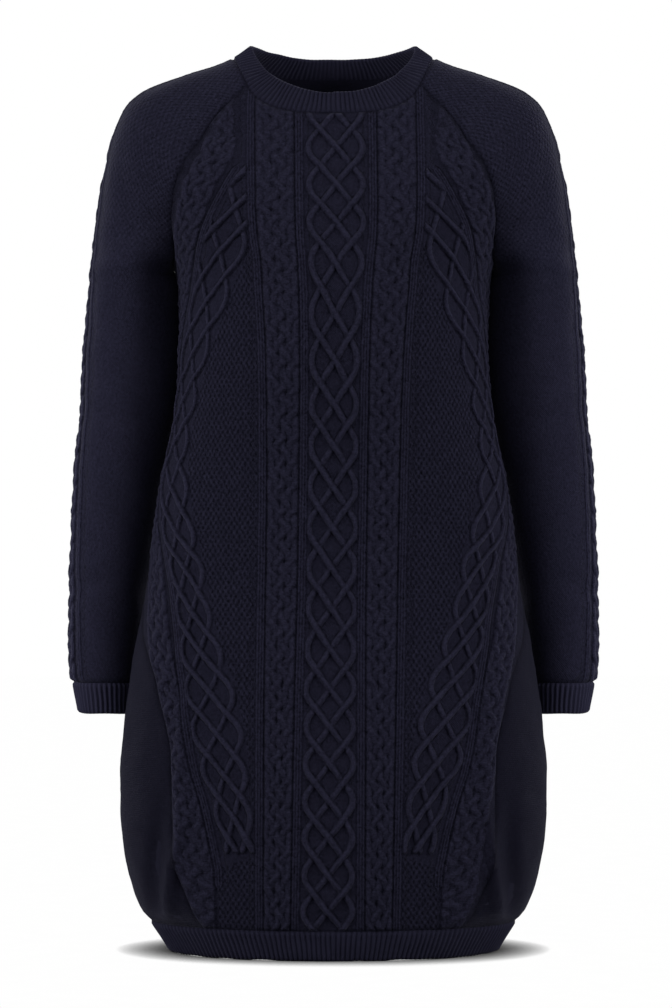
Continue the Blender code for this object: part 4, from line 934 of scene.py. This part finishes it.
def edge_distance(spots, outline):
    """Distance of each spot to a closed outline."""
    start = outline.astype(np.float32)
    along = np.roll(start, -1, axis=0) - start
    size = np.maximum(np.sum(along ** 2, axis=1), 1e-12)
    found = []
    for part in np.array_split(spots.astype(np.float32), max(1, len(spots) // 4000)):
        away = part[:, None, :] - start[None]
        share = np.clip(np.sum(away * along[None], axis=2) / size, 0, 1)
        away -= share[..., None] * along[None]
        found.append(np.sqrt(np.min(np.sum(away ** 2, axis=2), axis=1)))
    return np.concatenate(found).astype(float)


def inside(spots, outline):
    """Whether each spot is inside a closed outline."""
    found = np.zeros(len(spots), bool)
    x, y = spots[:, 0], spots[:, 1]
    for (ax, ay), (bx, by) in zip(outline, np.roll(outline, -1, axis=0)):
        if ay == by:
            continue
        crosses = (ay > y) != (by > y)
        found ^= crosses & (x < (bx - ax) * (y - ay) / (by - ay) + ax)
    return found


def spread(outline, step, chosen, clear, seed):
    """Points of a slightly uneven triangular grid inside an outline, where chosen says so."""
    low, high = outline.min(axis=0), outline.max(axis=0)
    columns = np.arange(low[0], high[0], step)
    rows = np.arange(low[1], high[1], step * math.sqrt(3) / 2)
    u, v = np.meshgrid(columns, rows)
    u[1::2] += step / 2
    draw = np.random.default_rng(seed)
    spots = np.stack([u.ravel(), v.ravel()], 1) + draw.uniform(-0.14, 0.14, (u.size, 2)) * step
    spots = spots[chosen(spots[:, 0], spots[:, 1])]
    spots = spots[inside(spots, outline)]
    return spots[edge_distance(spots, outline) > clear]


def triangles_of(outline, spots):
    count = len(outline)
    flat = [Vector(p) for p in np.concatenate([outline, spots])]
    edges = [(i, (i + 1) % count) for i in range(count)]
    points, _, faces, originals, _, _ = delaunay_2d_cdt(flat, edges, [list(range(count))], 1, 1e-6)
    first = np.array([ids[0] if ids else -1 for ids in originals])
    faces = first[np.array([face for face in faces if len(face) == 3])]
    faces = faces[np.all(faces >= 0, axis=1)]
    corners = np.concatenate([outline, spots])[faces]
    one, two = corners[:, 1] - corners[:, 0], corners[:, 2] - corners[:, 0]
    turned = one[:, 0] * two[:, 1] - one[:, 1] * two[:, 0] < 0
    faces[turned] = faces[turned][:, ::-1]
    return faces


def paint_of(s, t, look):
    """What the shader reads at each point: cloth, ground, fifth strand, other strands."""
    return (np.stack([s, t, look.tone], 1), np.stack([look.moss, look.purl, look.line], 1),
            np.stack([look.away[:, 4], look.lift[:, 4], look.bold], 1),
            look.away[:, :4], look.lift[:, :4])


def make_piece(name, points, faces, paint, sharp, body_slot, nodes):
    """A mesh object with its cloth's own coordinates, riding where its solid is."""
    mesh = bpy.data.meshes.new(name)
    mesh.vertices.add(len(points))
    mesh.vertices.foreach_set("co", np.ascontiguousarray(points, np.float32).ravel())
    size = faces.shape[1]
    mesh.loops.add(faces.size)
    mesh.loops.foreach_set("vertex_index", faces.astype(np.int32).ravel())
    mesh.polygons.add(len(faces))
    mesh.polygons.foreach_set("loop_start", np.arange(0, faces.size, size, dtype=np.int32))
    mesh.polygons.foreach_set("use_smooth", np.ones(len(faces), bool))
    mesh.update(calc_edges=True)
    mesh.validate()
    for label, values in zip(("cloth", "ground", "fifth", "strand_away", "strand_lift"), paint):
        kind, entry = ("FLOAT_VECTOR", "vector") if values.shape[1] == 3 else ("FLOAT_COLOR", "color")
        mesh.attributes.new(label, kind, "POINT").data.foreach_set(
            entry, np.ascontiguousarray(values, np.float32).ravel())
    ends = np.zeros(2 * len(mesh.edges), np.int32)
    mesh.edges.foreach_get("vertices", ends)
    ends = np.sort(ends.reshape(-1, 2), axis=1)
    keys = set(map(tuple, np.sort(sharp, axis=1).tolist()))
    marks = np.array([tuple(pair) in keys for pair in ends.tolist()])
    mesh.attributes.new("sharp_edge", "BOOLEAN", "EDGE").data.foreach_set("value", marks)
    piece = bpy.data.objects.new(name, mesh)
    bpy.context.scene.collection.objects.link(piece)
    piece.data.materials.append(CLOTH[body_slot])
    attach(piece, "root")
    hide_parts(*nodes)
    return piece


def loop_edges(start, count):
    ids = np.arange(count)
    return np.stack([start + ids, start + (ids + 1) % count], 1)


def make_panel(name, node, place, outward, edge, look_at, fine, slot_name, seed):
    """A knitted panel: a fine outer face, a plain inner face and the edge between them."""
    outline, shared = edge
    if signed_area(outline) < 0:
        outline, shared = outline[::-1], shared[::-1]
    count = len(outline)

    def coarse(u, v):
        return ~fine(u, v)

    spots = np.concatenate([spread(outline, FINE_STEP, fine, 0.6 * FINE_STEP, seed),
                            spread(outline, PLAIN_STEP, coarse, 0.5 * FINE_STEP, seed + 1)])
    flat = np.concatenate([outline, spots])
    faces = triangles_of(outline, spots)
    inner_spots = spread(outline, INNER_STEP, everywhere, 0.4 * INNER_STEP, seed + 2)
    inner_flat = np.concatenate([outline, inner_spots])
    inner_faces = triangles_of(outline, inner_spots)

    def laid(spots, outer):
        u, v = spots[:, 0], spots[:, 1]
        point = place(u, v)
        normal = normals_on(place, u, v, outward)
        own = np.isnan(shared[:, 0])
        normal[:count] = np.where(own[:, None], normal[:count], shared)
        look = look_at(u, v)
        away = edge_distance(spots, outline)
        raised = look.height * step_in(away, 0.0004, 0.0036) - SEAM_DIP * step_in(away, 0.003, 0.0)
        fold = look.fold * step_in(away, 0.0, 0.012)
        rise = (raised if outer else -WALL) + fold + look.drape
        return point + normal * rise[:, None], look, away

    outer, look, away = laid(flat, True)
    draw = np.random.default_rng(seed + 7)
    rough = draw.normal(0, WOOLLY, len(flat)) * step_in(away, 0.0, 0.003)
    outer = outer + unit(outer - laid(flat, False)[0]) * rough[:, None]
    inner, _, _ = laid(inner_flat, False)
    start = len(outer)
    ids = np.arange(count)
    after = (ids + 1) % count
    rim = np.concatenate([np.stack([ids, start + ids, start + after], 1),
                          np.stack([ids, start + after, after], 1)])
    faces = np.concatenate([faces, inner_faces[:, ::-1] + start, rim])
    if outward < 0:
        faces = faces[:, ::-1]
    plain = np.zeros(len(inner))
    look = look._replace(tone=look.tone * (1 - SEAM_SHADE * np.exp(-(away / SEAM_WIDTH) ** 2)))
    inner_look = plain_look(plain, plain)._replace(purl=plain + ABSENT)
    look = Look(*[np.concatenate([a, b]) for a, b in zip(look, inner_look)])
    where = np.concatenate([flat, inner_flat])
    paint = paint_of(where[:, 0] / STITCH, where[:, 1] / ROW_HEIGHT, look)
    sharp = np.concatenate([loop_edges(0, count), loop_edges(start, count)])
    points = np.concatenate([outer, inner])
    piece = make_piece(name, points, faces, paint, sharp, slot_name, [node])
    area = abs(signed_area(outline))
    wide, tall = np.ptp(outline, axis=0)
    return points, faces, paint, sharp, (float(wide), float(tall), area)


def resampled(points, normals, count):
    """Evenly spaced points and normals round a closed loop."""
    closed = np.concatenate([points, points[:1]])
    walked = np.concatenate([[0], np.cumsum(np.linalg.norm(np.diff(closed, axis=0), axis=1))])
    at = np.linspace(0, walked[-1], count, endpoint=False)
    facing = np.concatenate([normals, normals[:1]])

    def mix(values):
        return np.stack([np.interp(at, walked, values[:, i]) for i in range(3)], 1)

    return mix(closed), unit(mix(facing))


def ribbed_band(name, node, seam, seam_normals, edge_of, rise, band_painted_light, seed):
    """A ribbed ring between its seam and its free edge, with rounded knit columns."""
    length = float(np.sum(np.linalg.norm(np.roll(seam, -1, axis=0) - seam, axis=1)))
    count = round(length / RIB_PITCH) * RIB_POINTS
    low, low_normal = resampled(seam, seam_normals, count)
    high = edge_of(low)
    part = np.linspace(0, 1, RIB_ROWS)
    grid = low[None] * (1 - part[:, None, None]) + high[None] * part[:, None, None]
    round_way = np.roll(grid, -1, axis=1) - np.roll(grid, 1, axis=1)
    up_way = unit(high - low)[None]
    normal = unit(np.cross(round_way, np.broadcast_to(up_way, grid.shape)))
    if np.sum(normal[0] * low_normal) < 0:
        normal = -normal
    blend = step_in(part, 0.5, 0.0)[:, None, None]
    normal = unit(normal * (1 - blend) + low_normal[None] * blend)
    tall = float(np.mean(np.linalg.norm(high - low, axis=1)))
    columns = np.arange(count) / RIB_POINTS
    place = columns[None, :] + 0.06 * uneven(columns[None, :] * 0.004, part[:, None] * tall, seed)
    wave = (0.5 + 0.5 * np.cos(2 * math.pi * place)) ** 0.8 * np.ones((RIB_ROWS, 1))
    ends = step_in(part, 0.0, 0.10) * (0.35 + 0.65 * step_in(part, 1.0, 0.93))
    height = rise * wave * ends[:, None]
    height += SLOW_RISE * uneven(columns[None, :] * RIB_PITCH, part[:, None] * tall, seed + 1, 0.04)
    lip = np.where(part > 0.995, -0.3 * WALL, 0.0)[:, None]
    slack = 0.0006 * uneven(columns * RIB_PITCH, columns * 0, seed + 2, 0.05)
    grid = grid + up_way * (slack[None, :, None] * part[:, None, None] ** 2)
    seam_dip = -SEAM_DIP * step_in(part, 0.08, 0.0)[:, None]
    outer = grid + normal * (height + lip + seam_dip)[..., None]
    wall = WALL + 0.6 * rise * (1 - wave) * ends[:, None] - 0.25 * WALL * (part > 0.995)[:, None]
    inner = grid - normal * wall[..., None]
    layers = np.concatenate([outer, inner[::-1]])
    ids = np.arange(layers.shape[0] * count).reshape(layers.shape[0], count)
    below = np.roll(ids, -1, axis=0)
    quads = np.stack([ids, np.roll(ids, -1, axis=1), np.roll(below, -1, axis=1), below], -1)
    faces = quads.reshape(-1, 4)
    points = layers.reshape(-1, 3)
    corner = points[faces[(RIB_ROWS // 2) * count]]
    facing = np.cross(corner[1] - corner[0], corner[3] - corner[0])
    if np.dot(facing, normal[RIB_ROWS // 2, 0]) < 0:
        faces = faces[:, ::-1]
    size = layers.shape[0]
    knit_s = np.broadcast_to(columns[None, :] * 2, (size, count)).ravel()
    along = np.concatenate([part, part[::-1]]) * tall / ROW_HEIGHT
    knit_t = np.repeat(along, count)
    # Painted light: each band is made paler by its own amount; it is darker along its seam.
    shade = band_painted_light - 0.5 * step_in(part, 0.07, 0.0)[:, None]
    # Painted light and shade: the ribs' crests paler, their hollows darker, the inner face paler.
    painted_crest_light = np.concatenate([0.55 * wave + shade, 0.55 * (1 - wave[::-1]) + band_painted_light + INNER_RIB_PAINTED_LIGHT]).ravel()
    paint = (np.stack([knit_s, knit_t, painted_crest_light], 1),)
    sharp = np.concatenate([loop_edges(0, count), loop_edges((size - 1) * count, count)])
    piece = make_piece(name, points, faces, paint, sharp, "rib_knit", [node])
    return points, faces, paint, sharp, (length, tall)


def mirrored_piece(name, node, built, slot_name):
    points, faces, paint, sharp, size = built
    piece = make_piece(name, mirror(points), faces[:, ::-1], paint, sharp, slot_name, [node])


# ---------------- the bands' seams and edges
def neck_seam():
    """The whole neck seam, from centre front towards +X and round the back."""
    x, z = front_neck()
    turn, z = turn_of(x[NECK_MIDDLE:], z[NECK_MIDDLE:]), z[NECK_MIDDLE:]
    points, normals = [body(turn, z)], [body_normal(turn, z)]
    u = np.linspace(-float(SLEEVE_MAPS["front"].reach(0)), float(SLEEVE_MAPS["back"].reach(0)), 60)
    points.append(on_sleeve(u[1:-1], 0.0 * u[1:-1]))
    normals.append(normals_on(on_sleeve, u[1:-1], 0 * u[1:-1] + 0.0008, -1))
    x, z = (values[:NECK_MIDDLE - 1:-1] for values in back_neck())
    turn = math.pi - turn_of(x, z)
    points.append(body(turn, z))
    normals.append(body_normal(turn, z))
    return both_sides(np.concatenate(points), np.concatenate(normals))


def neck_edge(points):
    """The neckband's free edge above points of the neck seam."""
    front, back = -body(0.0, -NECK_SEAM_DROP)[1], body(math.pi, -BACK_NECK_DROP)[1]
    ahead = -points[:, 1] / np.where(points[:, 1] < 0, front, back)
    turn = np.arctan2(points[:, 0] / 0.100, ahead)
    falling = np.cos(turn)
    falling = (falling + np.sqrt(falling ** 2 + BAND_BLEND ** 2)) / 2
    falling /= (1 + math.sqrt(1 + BAND_BLEND ** 2)) / 2
    depth = np.where(np.cos(turn) > 0, BAND_FRONT, -BAND_BACK)
    return np.stack([BAND_HALF * np.sin(turn), depth * np.cos(turn),
                     BAND_BACK_Z + BAND_SIDE_RISE * np.abs(np.sin(turn)) ** 2.65
                     - BAND_FRONT_DROP * falling], 1)


def hem_seam():
    distance = np.linspace(0, float(BODY_MAP.reach(HEM_SEAM)), 300)
    turn = BODY_MAP.across_at(distance, HEM_SEAM)
    return both_sides(body(turn, HEM_SEAM), body_normal(turn, HEM_SEAM))


def hem_edge(points):
    turn = np.arctan2(powered(points[:, 0] / float(down(BODY, "half_width", HEM_SEAM)), 1 / SQUARE),
                      hem_ahead(points))
    return body(turn, HEM_EDGE)


def hem_ahead(points):
    widest = float(down(BODY, "widest", HEM_SEAM))
    front = widest - float(down(BODY, "front", HEM_SEAM))
    back = float(down(BODY, "back", HEM_SEAM)) - widest
    ahead = widest - points[:, 1]
    return powered(ahead / np.where(ahead > 0, front, back), 1 / SQUARE)


def cuff_seam():
    row = float(CUFF_SEAM_ROW)
    around = np.linspace(-1, 1, 241)[:-1]
    points = sleeve(around, row)
    round_way = np.roll(points, -1, axis=0) - np.roll(points, 1, axis=0)
    normals = unit(np.cross(round_way, np.array([0.0, 0.0, 1.0])))
    if np.sum(normals * (points - points.mean(axis=0))) < 0:
        normals = -normals
    return points, normals


def cuff_edge(points):
    row = float(np.interp(-CUFF_EDGE, -TOP_LINE[2], ROW_KNOTS))
    around = np.linspace(-1, 1, 1441)
    here = sleeve(around, float(CUFF_SEAM_ROW))
    nearest = np.array([around[np.argmin(np.sum((here - point) ** 2, axis=1))] for point in points])
    return sleeve(nearest, row)


# ---------------- the wool
SHEEN = 0.040
DEEP_NAVY = (0.0010, 0.0010, 0.0024, 1)
PALE_NAVY = (0.0150, 0.0146, 0.0285, 1)
SHEEN_TINT = (0.74, 0.74, 1.0, 1)
GAP_PLACE = 1.16          # where the gap beside a strand is, with its painted shade, in half widths
GAP_HALF = 0.42
WIDE_GAP_PLACE = 1.30     # the same where the strand passes over another one
WIDE_GAP_HALF = 0.58
STRAND_EDGE = (0.90, 1.05)
FAR = 1.6                 # distance where there is no strand
MOSS_ACROSS = 0.75        # moss stitch: half turns in one knit column
MOSS_ALONG = 0.427        # and in one row
GROUND_EDGE = 0.4         # half the width in mm over which moss and purl begin
BUNDLE_EDGE = (LINE_HALF * MM - 0.8, LINE_HALF * MM - 0.3)
BUNDLE_RATE = 1 / 1.4     # half turns of a bundle's columns in a mm
# scales of the noises: about how many of their spots lie in a metre
WANDER, PATCHES, LOOPS, HEATHER, PLAIN_LOOPS, TUFTS, FIBRES = 160, 130, 380, 420, 500, 900, 1500
FIBRE_DEPTH = 0.00012
CABLE_DEPTH, PLAIN_DEPTH, RIB_DEPTH = 0.00055, 0.00030, 0.00025


class Value:
    """A number on a shader socket, to reckon with."""

    def __init__(self, nodes, socket):
        self.nodes, self.socket = nodes, socket

    def __add__(self, other):
        return self.nodes.math("ADD", self, other)

    def __sub__(self, other):
        return self.nodes.math("SUBTRACT", self, other)

    def __rsub__(self, other):
        return self.nodes.math("SUBTRACT", other, self)

    def __mul__(self, other):
        return self.nodes.math("MULTIPLY", self, other)

    def __abs__(self):
        return self.nodes.math("ABSOLUTE", self)

    __radd__, __rmul__ = __add__, __mul__


class Nodes:
    """Short ways to add and link shader nodes."""

    def __init__(self, owner):
        self.tree = owner.node_tree
        self.tree.nodes.clear()

    def feed(self, socket, value):
        """Link a value to a socket, or set its number or colour."""
        value = getattr(value, "socket", value)
        if isinstance(value, bpy.types.NodeSocket):
            self.tree.links.new(value, socket)
        else:
            socket.default_value = value

    def add(self, kind, inputs=(), **settings):
        node = self.tree.nodes.new(kind)
        for name, value in settings.items():
            setattr(node, name, value)
        for name, value in dict(inputs).items():
            self.feed(node.inputs[name], value)
        return node

    def math(self, operation, *values):
        node = self.add("ShaderNodeMath", operation=operation)
        for socket, value in zip(node.inputs, values):
            self.feed(socket, value)
        return Value(self, node.outputs[0])

    def larger(self, one, other):
        return self.math("MAXIMUM", one, other)

    def noise(self, place, scale, detail, rough=0.5):
        node = self.add("ShaderNodeTexNoise", {"Vector": place, "Scale": scale, "Detail": detail,
                                               "Roughness": rough})
        return Value(self, node.outputs[0])

    def mix(self, share, low, high):
        return low + share * (high - low)

    def ramp(self, value, start, end, low=0.0, high=1.0):
        """Smooth step from low at start to high at end."""
        node = self.add("ShaderNodeMapRange", {"Value": value, "From Min": start, "From Max": end,
                                               "To Min": low, "To Max": high},
                        interpolation_type="SMOOTHSTEP")
        return Value(self, node.outputs[0])

    def hump(self, value, half, top=1.0):
        """top where value is 0, and 0 from half on to either side."""
        return self.ramp(abs(value), 0.0, half, top, 0.0)

    def wave(self, value, turns):
        """0 to 1, with its crests where value times turns / 2 is whole."""
        return 0.5 * self.math("COSINE", value * (turns * math.pi)) + 0.5

    def vector(self, name):
        """Three numbers of a vector attribute."""
        source = self.add("ShaderNodeAttribute", attribute_name=name)
        parts = self.add("ShaderNodeSeparateXYZ", {0: source.outputs["Vector"]})
        return [Value(self, socket) for socket in parts.outputs]

    def colour(self, name):
        """Four numbers of a colour attribute."""
        source = self.add("ShaderNodeAttribute", attribute_name=name)
        parts = self.add("ShaderNodeSeparateColor", {0: source.outputs["Color"]})
        return [Value(self, socket) for socket in (*parts.outputs, source.outputs["Alpha"])]

    def in_view(self, lighting):
        """1 as the camera sees it, and lighting as light from it falls on things."""
        seen = Value(self, self.add("ShaderNodeLightPath").outputs["Is Camera Ray"])
        return self.mix(seen, lighting, 1.0)


def cables(tree):
    """Distance to the uppermost strand in half widths, the gaps' depth and painted shade, and
    boldness.

    All the strands are laid first, then those that pass over a neighbour once more.
    """
    fifth_away, fifth_lift, bold = tree.vector("fifth")
    aways = tree.colour("strand_away") + [fifth_away]
    lifts = tree.colour("strand_lift") + [fifth_lift]
    bares = [tree.ramp(away, *STRAND_EDGE) for away in aways]
    near, gap_and_painted_shade = FAR, 0.0
    for away, bare in zip(aways, bares):
        near = away + bare * (near - away)
        gap_and_painted_shade = tree.larger(gap_and_painted_shade * bare, tree.hump(away - GAP_PLACE, GAP_HALF))
    for away, bare, lift in zip(aways, bares, lifts):
        over = tree.ramp(lift, 0.05, 0.30)
        bare = 1 + over * (bare - 1)
        near = away + bare * (near - away)
        gap_and_painted_shade = tree.larger(gap_and_painted_shade * bare, over * tree.hump(away - WIDE_GAP_PLACE, WIDE_GAP_HALF))
    return near, gap_and_painted_shade, bold


def knit_columns(tree, s, t):
    """Stocking stitch, 0 to 1: two leaning arms in every stitch of a column."""
    arm = abs(2 * tree.math("FRACT", s) - 1)
    return tree.math("SINE", arm * math.pi) * (0.4 + 0.6 * tree.wave(0.75 * arm + t, 2.0))


def wandering(tree, place, s, t, across=0.9):
    """The cloth's coordinates, a little uneven as in hand-worked yarn."""
    wander = tree.noise(place, WANDER, 2.0) - 0.5
    return wander * across + s, wander * 0.7 + t


def new_material(name):
    material = bpy.data.materials.new(name)
    material.use_nodes = True
    tree = Nodes(material)
    return material, tree, tree.add("ShaderNodeTexCoord").outputs["Object"]


def finished(tree, place, height, depth, shade):
    """Bump, fibres, heathered colour and sheen of the wool."""
    height = height * depth + FIBRE_DEPTH * tree.noise(place, FIBRES, 3.0, 0.65)
    bump = tree.add("ShaderNodeBump", {"Strength": 1.0, "Distance": 1.0, "Height": height})
    shade = (tree.noise(place, HEATHER, 2.0) - 0.5) * 0.30 + shade
    ramp = tree.add("ShaderNodeValToRGB", {0: shade})
    for element, position, colour in zip(ramp.color_ramp.elements, (0.0, 1.0),
                                         (DEEP_NAVY, PALE_NAVY)):
        element.position = position
        element.color = colour
    shader = tree.add("ShaderNodeBsdfPrincipled", {
        "Base Color": ramp.outputs[0], "Normal": bump.outputs[0], "Roughness": 0.92,
        "Specular IOR Level": 0.02, "Sheen Weight": SHEEN, "Sheen Roughness": 0.40,
        "Sheen Tint": SHEEN_TINT})
    tree.add("ShaderNodeOutputMaterial", {0: shader.outputs[0]})


def cable_wool(name):
    """Dark navy wool with its cables, rib columns, moss, purl and stocking stitch."""
    material, tree, place = new_material(name)
    s, t, tone = tree.vector("cloth")
    moss, purl, line = tree.vector("ground")
    near, gap_and_painted_shade, bold = cables(tree)
    s, t = wandering(tree, place, s, t)
    loops = 2 * (tree.noise(place, LOOPS, 1.0) - 0.5)
    tufts = 2 * (tree.noise(place, TUFTS, 1.0) - 0.5)
    patches = tree.noise(place, PATCHES, 2.0)
    on_moss = tree.ramp(moss, -GROUND_EDGE, GROUND_EDGE)
    on_purl = tree.ramp(purl, -GROUND_EDGE, GROUND_EDGE)
    # moss stitch: small holes, painted dark with shade, in a pale net; purl: a finer one
    chequer = (2 * tree.wave(s, MOSS_ACROSS) - 1) * (2 * tree.wave(t, MOSS_ALONG) - 1)
    chequer = 0.50 * loops + chequer
    holes = tree.ramp(chequer, 0.20, 0.95) * on_moss
    dots = tree.ramp(chequer, -0.9, 0.6, 1.0, 0.3)
    arcs = 1 - 0.6 * abs(tree.wave(s, 1.9) - tree.wave(t, 1.7))
    knit = knit_columns(tree, s, t)
    ground = tree.mix(on_moss, tree.mix(on_purl, knit, arcs), dots)
    # bundles of fine columns with a groove at either side, painted dark with shade
    columns = tree.wave(line, BUNDLE_RATE)
    bundle = tree.ramp(abs(line), *BUNDLE_EDGE, 1.0, 0.0)
    groove = tree.larger(tree.hump(line - LINE_HALF * MM, 1.6, 0.85),
                         tree.hump(line + LINE_HALF * MM, 1.0, 0.45))
    ground = tree.mix(bundle, ground, tree.mix(0.3, columns, knit))
    firm = bold * tree.ramp(patches, 0.30, 0.70, 0.15, 1.15)
    gap_and_painted_shade = tree.larger(gap_and_painted_shade * (0.7 * tufts + firm), groove)
    gap_and_painted_shade = tree.larger(gap_and_painted_shade, holes * (0.6 * loops + 0.75))
    # strands: rounded, with stitches along them, and a painted highlight along their crests that
    # fades towards their edges
    inside = tree.math("MINIMUM", near, 1.0)
    round_off = 1 - inside * inside
    stitches = tree.wave(0.5 * near + 1.15 * t, 2.0)
    on_strand = tree.ramp(near, *STRAND_EDGE, 1.0, 0.0)
    strand = (1.5 * tree.math("SQRT", round_off) + 0.45 * stitches) * (0.6 * bold + 0.4)
    height = tree.mix(on_strand, 0.60 * ground, strand) - 0.8 * gap_and_painted_shade + 0.45 * loops
    # painted highlight: the strand is paler along its crest
    painted_crest_light = round_off * (0.30 * bold + 0.14) + 0.10 * stitches
    shade = tree.mix(on_strand, 0.26 * ground + 0.27, painted_crest_light + 0.36) + 0.16 * (bundle * columns)
    busy = 0.65 * tree.larger(tree.larger(on_strand, bundle), on_moss) + 0.45
    # painted shade: darker in the gaps, grooves and holes
    shade = (shade + 0.42 * (loops * busy) + 0.46 * tufts) * (1 - 0.68 * gap_and_painted_shade)
    # The tone brings the sleeves' painted light and the seams' darkness.
    finished(tree, place, height, CABLE_DEPTH, shade * tone)
    return material


def plain_wool(name):
    """The same wool in plain stocking stitch."""
    material, tree, place = new_material(name)
    s, t, tone = tree.vector("cloth")
    ground = knit_columns(tree, *wandering(tree, place, s, t))
    shade = 0.26 * tree.noise(place, PLAIN_LOOPS, 1.0) + (0.20 * ground + 0.20)
    # The tone brings the back's painted shade.
    finished(tree, place, ground, PLAIN_DEPTH, shade * tone)
    return material


def rib_wool(name):
    """The same wool in ribs; the cloth's third number follows how high a point of the rib is and is
    painted light: paler on the crests, darker in the hollows, and paler on some whole bands.
    """
    material, tree, place = new_material(name)
    s, t, painted_crest_light = tree.vector("cloth")
    ground = knit_columns(tree, *wandering(tree, place, s, t, 0.4))
    shade = 0.34 * tree.noise(place, PLAIN_LOOPS, 1.0) + (0.20 * ground + 0.40 * painted_crest_light)
    finished(tree, place, ground, RIB_DEPTH, shade)
    return material


CLOTH = {"cable_knit": cable_wool("cable_knit"), "plain_knit": plain_wool("plain_knit"),
         "rib_knit": rib_wool("rib_knit")}


# ---------------- studio
FLOOR = -0.8872
FLOOR_HALF = 6.0
AMBIENT = 0.40            # strength of the studio's light from all round
FLOOR_LIGHT = 0.45        # light that the floor sends up
CONTACT = 0.045           # reach of the soft shadow under the hem
CONTACT_DEPTH = 2.2       # how dark it is
SENSOR = 36.0
CAMERA_PLACE = (0.0025, -3.8, -0.444)
VIEW_WIDTH = 0.672        # what the camera sees at the dress from side to side
AIM = (0, 0, -0.45)       # what the lights point at
LIGHTS = table(
    "name place size power",
    ("key_left", (-3.1, -1.5, 0.8), 1.8, 150.0),
    ("key_right", (3.1, -1.5, 0.8), 1.8, 132.0),
    ("back_left", (-2.4, 2.2, 0.9), 1.6, 90.0),
    ("back_right", (2.4, 2.2, 0.9), 1.6, 90.0),
)


def placed(name, data, place):
    item = bpy.data.objects.new(name, data)
    item.location = place
    bpy.context.scene.collection.objects.link(item)
    return item


def white_world():
    world = bpy.data.worlds.new("studio")
    world.use_nodes = True
    tree = Nodes(world)
    backdrop = tree.add("ShaderNodeBackground", {"Color": (1, 1, 1, 1),
                                                 "Strength": tree.in_view(AMBIENT)})
    tree.add("ShaderNodeOutputWorld", {0: backdrop.outputs[0]})
    return world


def floor_paint():
    """White, with a soft shadow close under the hem."""
    paint, tree, place = new_material("floor")
    grain = 0.02 * tree.noise(place, 30.0, 4.0) + 0.985
    nearby = tree.add("ShaderNodeAmbientOcclusion", {"Distance": CONTACT}, samples=8)
    shadow = tree.math("POWER", nearby.outputs["AO"], CONTACT_DEPTH)
    glow = grain * tree.in_view(FLOOR_LIGHT) * shadow
    shader = tree.add("ShaderNodeEmission", {"Strength": glow})
    tree.add("ShaderNodeOutputMaterial", {0: shader.outputs[0]})
    return paint


def studio():
    """White world and floor, four soft lights, and the camera straight ahead."""
    scene = bpy.context.scene
    scene.view_settings.view_transform = "Standard"
    scene.world = white_world()
    mesh = bpy.data.meshes.new("floor")
    corners = ((-1, -1), (1, -1), (1, 1), (-1, 1))
    mesh.from_pydata([(FLOOR_HALF * x, FLOOR_HALF * y, 0) for x, y in corners], [], [(0, 1, 2, 3)])
    mesh.materials.append(floor_paint())
    placed("floor", mesh, (0, 0, FLOOR))
    for row in LIGHTS:
        light = bpy.data.lights.new(row.name, "AREA")
        light.shape = "RECTANGLE"
        light.size = light.size_y = row.size
        light.energy = row.power
        lamp = placed(row.name, light, row.place)
        aim = Vector(AIM) - Vector(row.place)
        lamp.rotation_euler = aim.to_track_quat("-Z", "Y").to_euler()
    camera = bpy.data.cameras.new("camera")
    camera.sensor_fit = "HORIZONTAL"
    camera.sensor_width = SENSOR
    camera.lens = SENSOR * -CAMERA_PLACE[1] / VIEW_WIDTH
    scene.camera = placed("camera", camera, CAMERA_PLACE)
    scene.camera.rotation_euler = (math.pi / 2, 0, 0)


studio()

# ---------------- the pieces
make_panel("front_cloth", "front", on_front, 1, panel_outline("front"), front_look, fine_front,
           "cable_knit", 101)
make_panel("back_cloth", "back", on_back, 1, panel_outline("back"), back_look, nowhere,
           "plain_knit", 111)
arm = make_panel("sleeve_left_cloth", "sleeve_left", on_sleeve, -1, sleeve_outline(), sleeve_look,
                 fine_sleeve, "cable_knit", 121)
mirrored_piece("sleeve_right_cloth", "sleeve_right", arm, "cable_knit")
# The number before the seed is painted light: how much paler each band is made.
ribbed_band("neckband_cloth", "neckband", *neck_seam(), neck_edge, 0.0013, 0.45, 201)
ribbed_band("hem_cloth", "hem_band", *hem_seam(), hem_edge, 0.0013, 0.60, 211)
cuff = ribbed_band("cuff_left_cloth", "cuff_left", *cuff_seam(), cuff_edge, 0.0014, 1.60, 221)
mirrored_piece("cuff_right_cloth", "cuff_right", cuff, "rib_knit")
